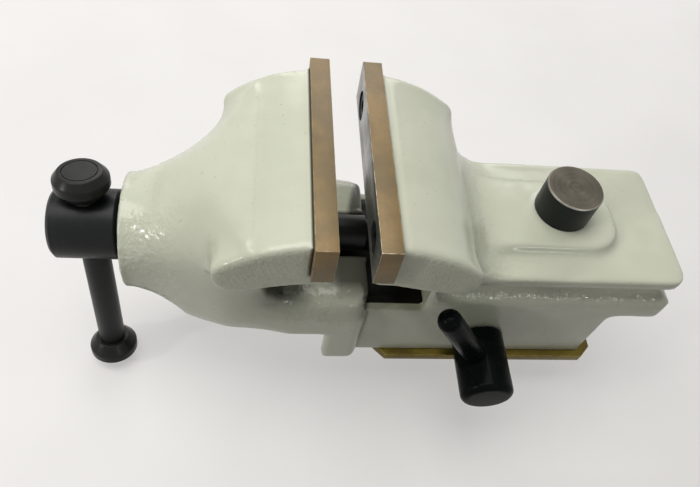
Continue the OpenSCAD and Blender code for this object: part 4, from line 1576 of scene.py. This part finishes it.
@dataclass
class SpindleSet:
    """The spindle with its thread, washer, collar, nut and bush."""

    origin: Point = (0.0, 0.0, SPINDLE_Z)
    pin_place: Point = (-47.9, 0.0, 0.0)
    shank_end: float = -45.0
    thread_start: float = -36.0
    thread_end: float = 35.8
    run_out: float = 0.8
    crest: float = 4.8
    root: float = 3.75
    pitch: float = 3.0
    foot_share: float = 0.62
    crest_share: float = 0.3
    face_gap: float = 0.05

    def cut_root(self, shape: BMesh) -> None:
        """Turns the thread's length down to its root, and the shank plain as far as it shows.

        Args:
            shape: The copy of the spindle's solid.
        """
        for vert in shape.verts:
            if abs(vert.co.x * PER_M - self.shank_end) < 0.05:
                vert.co.x = self.thread_start * MM
            if vert.co.x * PER_M > self.thread_start - 0.02:
                out = Vector((0.0, vert.co.y, vert.co.z - SPINDLE_Z * MM))
                if abs(out.length * PER_M - self.crest) < 0.1:
                    vert.co -= out * (1.0 - self.root / self.crest)

    def clear_washer(self, shape: BMesh) -> None:
        """Sets the bush's front face back from the washer that turns against it.

        Args:
            shape: The copy of the bush's solid.
        """
        front = min(vert.co.x for vert in shape.verts)
        for vert in shape.verts:
            if vert.co.x < front + 1e-5:
                vert.co.x += self.face_gap * MM

    @staticmethod
    def thread_tree() -> NodeTree:
        """Builds the thread tree: a ridge of trapezoid section wound along X.

        Returns:
            The tree, with named sizes.
        """
        sizes = ("Turns", "Length", "Middle Radius", "Depth", "Foot Width", "Crest Width")
        kinds = {"Start": GEOMETRY, **{size: FLOAT for size in sizes}, "Place": VECTOR,
                 "Finish": FINISH}
        graph, entry, leave = new_group("screw_thread", kinds, {"Thread": GEOMETRY},
                                        "GeometryNodeTree")
        get = entry.outputs
        winding = {"Resolution": 40, "Rotations": get["Turns"], "Height": get["Length"],
                   "Start Radius": get["Middle Radius"], "End Radius": get["Middle Radius"]}
        helix = graph.add("GeometryNodeCurveSpiral", winding).outputs[0]
        upright = graph.add("GeometryNodeSetCurveNormal", {"Curve": helix}, mode="Z_UP")
        section = graph.add("GeometryNodeCurvePrimitiveQuadrilateral", mode="POINTS")
        half = graph.times(get["Depth"], 0.5)
        for index, side, width, up in ((1, -1.0, "Foot Width", -0.5), (2, 1.0, "Crest Width", -0.5),
                                       (3, 1.0, "Crest Width", 0.5), (4, -1.0, "Foot Width", 0.5)):
            place = {0: graph.times(half, side), 1: graph.times(get[width], up)}
            corner = graph.add("ShaderNodeCombineXYZ", place).outputs[0]
            graph.feed(section, {f"Point {index}": corner})
        sweep = {"Curve": upright.outputs[0], "Profile Curve": section.outputs[0],
                 "Fill Caps": True}
        ridge = graph.add("GeometryNodeCurveToMesh", sweep).outputs[0]
        lying = {"Geometry": ridge, "Translation": get["Place"],
                 "Rotation": Euler((0.0, math.pi / 2.0, 0.0))}
        lie = graph.add("GeometryNodeTransform", lying).outputs[0]
        real = graph.add("GeometryNodeRealizeInstances", {0: lie}).outputs[0]
        done = graph.add("GeometryNodeSetMaterial", {"Geometry": real, "Material": get["Finish"]})
        graph.feed(leave, {0: done.outputs[0]})
        return graph.tree

    def wind_thread(self) -> None:
        """Winds the thread on the spindle's root."""
        length = self.thread_end - self.thread_start - 2.0 * self.run_out
        depth = self.crest - self.root
        values = {"Turns": length / self.pitch, "Length": length * MM,
                  "Middle Radius": (self.crest - depth / 2.0) * MM, "Depth": depth * 0.99 * MM,
                  "Foot Width": self.pitch * self.foot_share * MM,
                  "Crest Width": self.pitch * self.crest_share * MM,
                  "Place": ((self.thread_start + self.run_out) * MM, 0.0, SPINDLE_Z * MM),
                  "Finish": BLACK.material()}
        start = bpy.data.meshes.new("spindle_thread")
        thread = Shop.grown("spindle_thread", self.thread_tree(), start, values)
        Shop.mark_turned(thread, AFT, self.origin)
        Shop.settle(thread, Body.SPINDLE, Slot.BLACK)

    def build(self) -> None:
        """Makes the spindle, winds its thread and dresses what goes with it."""
        line = (AFT, (self.origin,))
        CadPiece("spindle_rod", "spindle", Body.SPINDLE, Slot.BLACK, 0.18, (BLACK,), *line,
                 reshape=self.cut_root).build()
        self.wind_thread()
        for name, node, finish, body, slot in (
                ("spindle_washer", "thrust_washer", BLACK, Body.SPINDLE, Slot.BLACK),
                ("spindle_collar", "retaining_collar", BLACK, Body.SPINDLE, Slot.BLACK),
                ("bronze_nut", "spindle_nut", BRONZE, Body.REAR, Slot.BRONZE)):
            CadPiece(name, node, body, slot, 0.25, (finish,), *line).build()
        CadPiece("guide_bush", "spindle_bush", Body.FRONT, Slot.BRONZE, 0.25, (BRONZE,), *line,
                 reshape=self.clear_washer).build()
        CadPiece("collar_dowel", "collar_pin", Body.SPINDLE, Slot.BRIGHT, 0.15, (BRIGHT,), UP,
                 (self.pin_place,)).build()


@dataclass
class TommyBar:
    """The sliding bar and its two knobs; sizes are widths and heights in millimetres."""

    centre: Point = (-108.55, 0.0, SPINDLE_Z)
    tilt: float = 13.0
    up: float = 9.7
    down: float = 45.5
    knob: Size = (13.7, 7.2)
    neck: Size = (9.3, 2.9)
    rim: float = 2.4
    end: float = 10.7
    bar_end: float = 8.4
    bore: Size = (7.2, 1.2)
    groove: Point = (0.3, 0.13, 0.06)

    def profile(self) -> Profile:
        """Draws a knob's turning profile, from its bore to its end face.

        Returns:
            The profile, with its corners rounded and a fine ring round the bar's end.
        """
        wide, tall = self.knob[0] / 2.0, self.knob[1]
        core, ring = self.bore[0] / 2.0, self.bar_end / 2.0
        deep, top, floor = self.groove
        corners = [(0.0, core), (0.0, self.neck[0] / 2.0), (self.neck[1], wide),
                   (self.neck[1] + self.rim, wide), (tall, self.end / 2.0), (tall, ring + top),
                   (tall - deep, ring + floor), (tall - deep, ring - floor), (tall, ring - top),
                   (tall, 0.0)]
        bored = [(self.bore[1], 0.0), (self.bore[1], core)]
        return bored + Shop.rounded(corners, {1: 0.3, 2: 0.9, 3: 0.9, 4: 0.5})

    def build(self) -> None:
        """Makes the bar and its knobs."""
        lean = math.radians(self.tilt)
        axis = Vector((0.0, math.sin(lean), math.cos(lean)))
        CadPiece("handle_bar", "tommy_bar", Body.BAR, Slot.BLACK, 0.3, (BLACK,), tuple(axis),
                 (self.centre,)).build()
        for name, node, reach, way in (("handle_knob_upper", "upper_knob", self.up, axis),
                                       ("handle_knob_lower", "lower_knob", self.down, -axis)):
            place = tuple(Vector(self.centre) + way * reach)
            knob = Shop.turned(name, self.profile(), place, tuple(way))
            Shop.dress(knob, BLACK_KNOB_LIT)
            Shop.settle(knob, Body.BAR, Slot.BLACK, node)


# ---------------------------------------------------------------- anvil, clamp and base


@dataclass
class Anvil:
    """The round anvil on the deck: black sides, a pale rim and a faced top."""

    foot: float = 46.5
    diameter: float = 15.3
    height: float = 9.6
    chamfer: float = 0.38
    spigot: Size = (10.0, 4.0)
    face_rings: Size = (6.05, 3.4425)

    def build(self) -> None:
        """Turns the anvil and faces its top."""
        wide, core = self.diameter / 2.0, self.spigot[0] / 2.0
        low, high = -self.spigot[1], self.height
        corners = [(low, 0.0), (low, core), (0.0, core), (0.0, wide), (high - self.chamfer, wide),
                   (high, wide - self.chamfer), *((high, ring) for ring in self.face_rings),
                   (high, 0.0)]
        profile = Shop.rounded(corners, {3: 0.2, 4: 0.15, 5: 0.12})
        piece = Shop.turned("anvil_stud", profile, (*ANVIL_PLACE, self.foot), UP, 128)
        Shop.dress(piece, BLACK, ANVIL_TOP, ANVIL_RIM)
        rim = self.foot + self.height - self.chamfer + 0.02
        for face in piece.data.polygons:
            if face.center.z * PER_M > rim:
                face.material_index = 1 if face.normal.z > 0.95 else 2
        Shop.settle(piece, Body.REAR, Slot.BLACK, "anvil")


@dataclass
class SwivelClamp:
    """The clamp screw with its lever, and the shoe that it pushes."""

    centre: Point = (0.0, 0.0, CLAMP_Z)
    lever_root: Point = (0.0, -28.5, CLAMP_Z)
    lever_lean: float = 33.0

    def build(self) -> None:
        """Makes the hub and lever and dresses the shoe."""
        lean = math.radians(self.lever_lean)
        lever_axis = (-math.sin(lean), 0.0, math.cos(lean))
        CadPiece("clamp_hub", "clamp_screw", Body.CLAMP, Slot.BLACK, 0.35, (BLACK_CLAMP_SHADED,), FAR,
                 (self.centre,)).build()
        CadPiece("clamp_handle", "clamp_lever", Body.CLAMP, Slot.BLACK, 0.3, (BLACK_CLAMP_SHADED,),
                 lever_axis, (self.lever_root,), least=50.0).build()
        CadPiece("clamp_pad", "clamp_shoe", Body.SHOE, Slot.BRONZE, 0.15, (BRONZE,), FAR,
                 (self.centre,)).build()


@dataclass
class SlideAndBase:
    """The slide bar, the brass base plate and the swivel post with its screws."""

    screw_circle: float = 8.6
    screw_turns: tuple[float, ...] = (90.0, 210.0, 330.0)

    def build(self) -> None:
        """Makes the bar and the plate and dresses the post."""
        turns = [math.radians(turn) for turn in self.screw_turns]
        axes = tuple((self.screw_circle * math.cos(turn), self.screw_circle * math.sin(turn), 0.0)
                     for turn in turns)
        for name, node, body, slot, bevel, finish, origins in (
                ("slide_rail", "slide_bar", Body.FRONT, Slot.BLACK, 0.4, WAY_AND_SHADE, ()),
                ("brass_plate", "base_plate", Body.BASE, Slot.BRASS, 0.25, BRASS, ()),
                ("swivel_stud", "swivel_post", Body.BASE, Slot.BRIGHT, 0.2, BRIGHT,
                 ((0.0, 0.0, 0.0),)),
                ("post_caps", "post_screws", Body.BASE, Slot.BRIGHT, 0.12, BRIGHT, axes)):
            CadPiece(name, node, body, slot, bevel, (finish,), UP, origins).build()


# ---------------------------------------------------------------- studio


@dataclass(frozen=True)
class Lamp:
    """A soft panel of light; its places and its size are in metres, its power in watts."""

    name: str
    place: Point
    target: Point
    size: Size
    power: float
    colour: Colour

    def hang(self) -> None:
        """Hangs the panel so that it faces its target."""
        data = bpy.data.lights.new(self.name, "AREA")
        data.shape = "RECTANGLE"
        data.size, data.size_y = self.size
        data.energy = self.power
        data.color = self.colour
        panel = bpy.data.objects.new(self.name, data)
        place = Vector(self.place)
        aim = (Vector(self.target) - place).to_track_quat("-Z", "Y").to_matrix().to_4x4()
        panel.matrix_world = Matrix.Translation(place) @ aim
        bpy.context.scene.collection.objects.link(panel)


VISE_MIDDLE: Point = (-0.04, 0.0, 0.035)
WARM_WHITE: Colour = (1.0, 0.98, 0.95)
LAMPS = (
    Lamp("overhead_panel", (-0.23, 0.06, 0.65), (-0.23, 0.06, 0.0), (0.7, 0.42), 4.05,
         (1.0, 0.99, 0.97)),
    Lamp("back_panel", (0.02, 0.75, 0.46), VISE_MIDDLE, (0.7, 0.35), 2.5, (1.0, 0.99, 0.98)),
    Lamp("left_lamp", (-0.8, -0.26, 0.38), VISE_MIDDLE, (0.06, 0.06), 1.45, WARM_WHITE),
    Lamp("right_lamp", (0.36, -0.64, 0.52), VISE_MIDDLE, (0.06, 0.06), 0.4, WARM_WHITE),
)


@dataclass
class Studio:
    """The pale board, the light and the camera of the photograph."""

    eye: Point = (-64.6, -101.2, 174.0)
    elevation: float = 54.4530
    azimuth: float = -14.1427
    roll: float = 13.5152
    focal_px: float = 629.325
    middle_px: Size = (349.374, 245.028)
    sensor: float = 36.0
    floor_drop: float = 0.2
    floor_reach: float = 4.0
    plinth: Point = (-14.0, 30.0, 9.0)
    room: Colour = (0.87, 0.86, 0.845)
    room_light: float = 0.03

    def camera(self) -> None:
        """Sets the camera where the photograph was taken from."""
        a, e, r = (math.radians(v) for v in (self.azimuth, self.elevation, self.roll))
        right = Vector((math.cos(a), math.sin(a), 0.0))
        ahead = Vector((-math.sin(a) * math.cos(e), math.cos(a) * math.cos(e), -math.sin(e)))
        up = right.cross(ahead)
        across = right * math.cos(r) + up * math.sin(r)
        upward = up * math.cos(r) - right * math.sin(r)
        width, height = PHOTO_SIZE
        data = bpy.data.cameras.new("photo_camera")
        data.sensor_fit = "HORIZONTAL"
        data.sensor_width = self.sensor
        data.lens = self.focal_px * self.sensor / width
        data.shift_x = (width / 2.0 - self.middle_px[0]) / width
        data.shift_y = (self.middle_px[1] - height / 2.0) / width
        data.clip_start, data.clip_end = 0.01, 20.0
        camera = bpy.data.objects.new("photo_camera", data)
        turn = Matrix((across, upward, -ahead)).transposed().to_4x4()
        camera.matrix_world = Matrix.Translation(Vector(self.eye) * MM) @ turn
        bpy.context.scene.collection.objects.link(camera)
        bpy.context.scene.camera = camera

    def board(self) -> None:
        """Lays the pale board, with a low block that carries the base plate."""
        low = CAD_BOX[0][2] - self.floor_drop * MM
        ground = bmesh.new()
        bmesh.ops.create_grid(ground, x_segments=1, y_segments=1, size=self.floor_reach,
                              matrix=Matrix.Translation((0.0, 0.0, low)))
        floor = Shop.link("pale_floor", Shop.to_mesh("pale_floor", ground))
        block = bmesh.new()
        start, end, half = (v * MM for v in self.plinth)
        size = Matrix.Diagonal((end - start, 2.0 * half, -low, 1.0))
        place = Matrix.Translation(((start + end) / 2.0, 0.0, low / 2.0))
        bmesh.ops.create_cube(block, size=1.0, matrix=place @ size)
        plinth = Shop.link("pale_block", Shop.to_mesh("pale_block", block))
        for piece in (floor, plinth):
            Shop.dress(piece, BOARD)

    def light(self) -> None:
        """Hangs broad panels above and behind and a small lamp at each side, in a pale room."""
        for lamp in LAMPS:
            lamp.hang()
        world = bpy.data.worlds.new("pale_room")
        world.use_nodes = True
        graph = Graph(world.node_tree)
        level = graph.math("MAXIMUM", graph.shown_rays(), self.room_light)
        graph.feed(world.node_tree.nodes["Background"],
                   {"Color": rgba(self.room), "Strength": level})
        bpy.context.scene.world = world

    def build(self) -> None:
        """Sets the camera, the board and the light."""
        self.camera()
        self.board()
        self.light()
        bpy.context.scene.view_settings.view_transform = "Standard"


def main() -> None:
    """Builds the vise's visible pieces in order."""
    logging.basicConfig(level=logging.INFO, format="%(name)s: %(message)s")
    for assembly in (Studio(), FrontCasting(), RearCasting(), JawPlates(), *SCREWS, SpindleSet(),
                     TommyBar(), Anvil(), SwivelClamp(), SlideAndBase()):
        assembly.build()


if __name__ == "__main__":
    main()
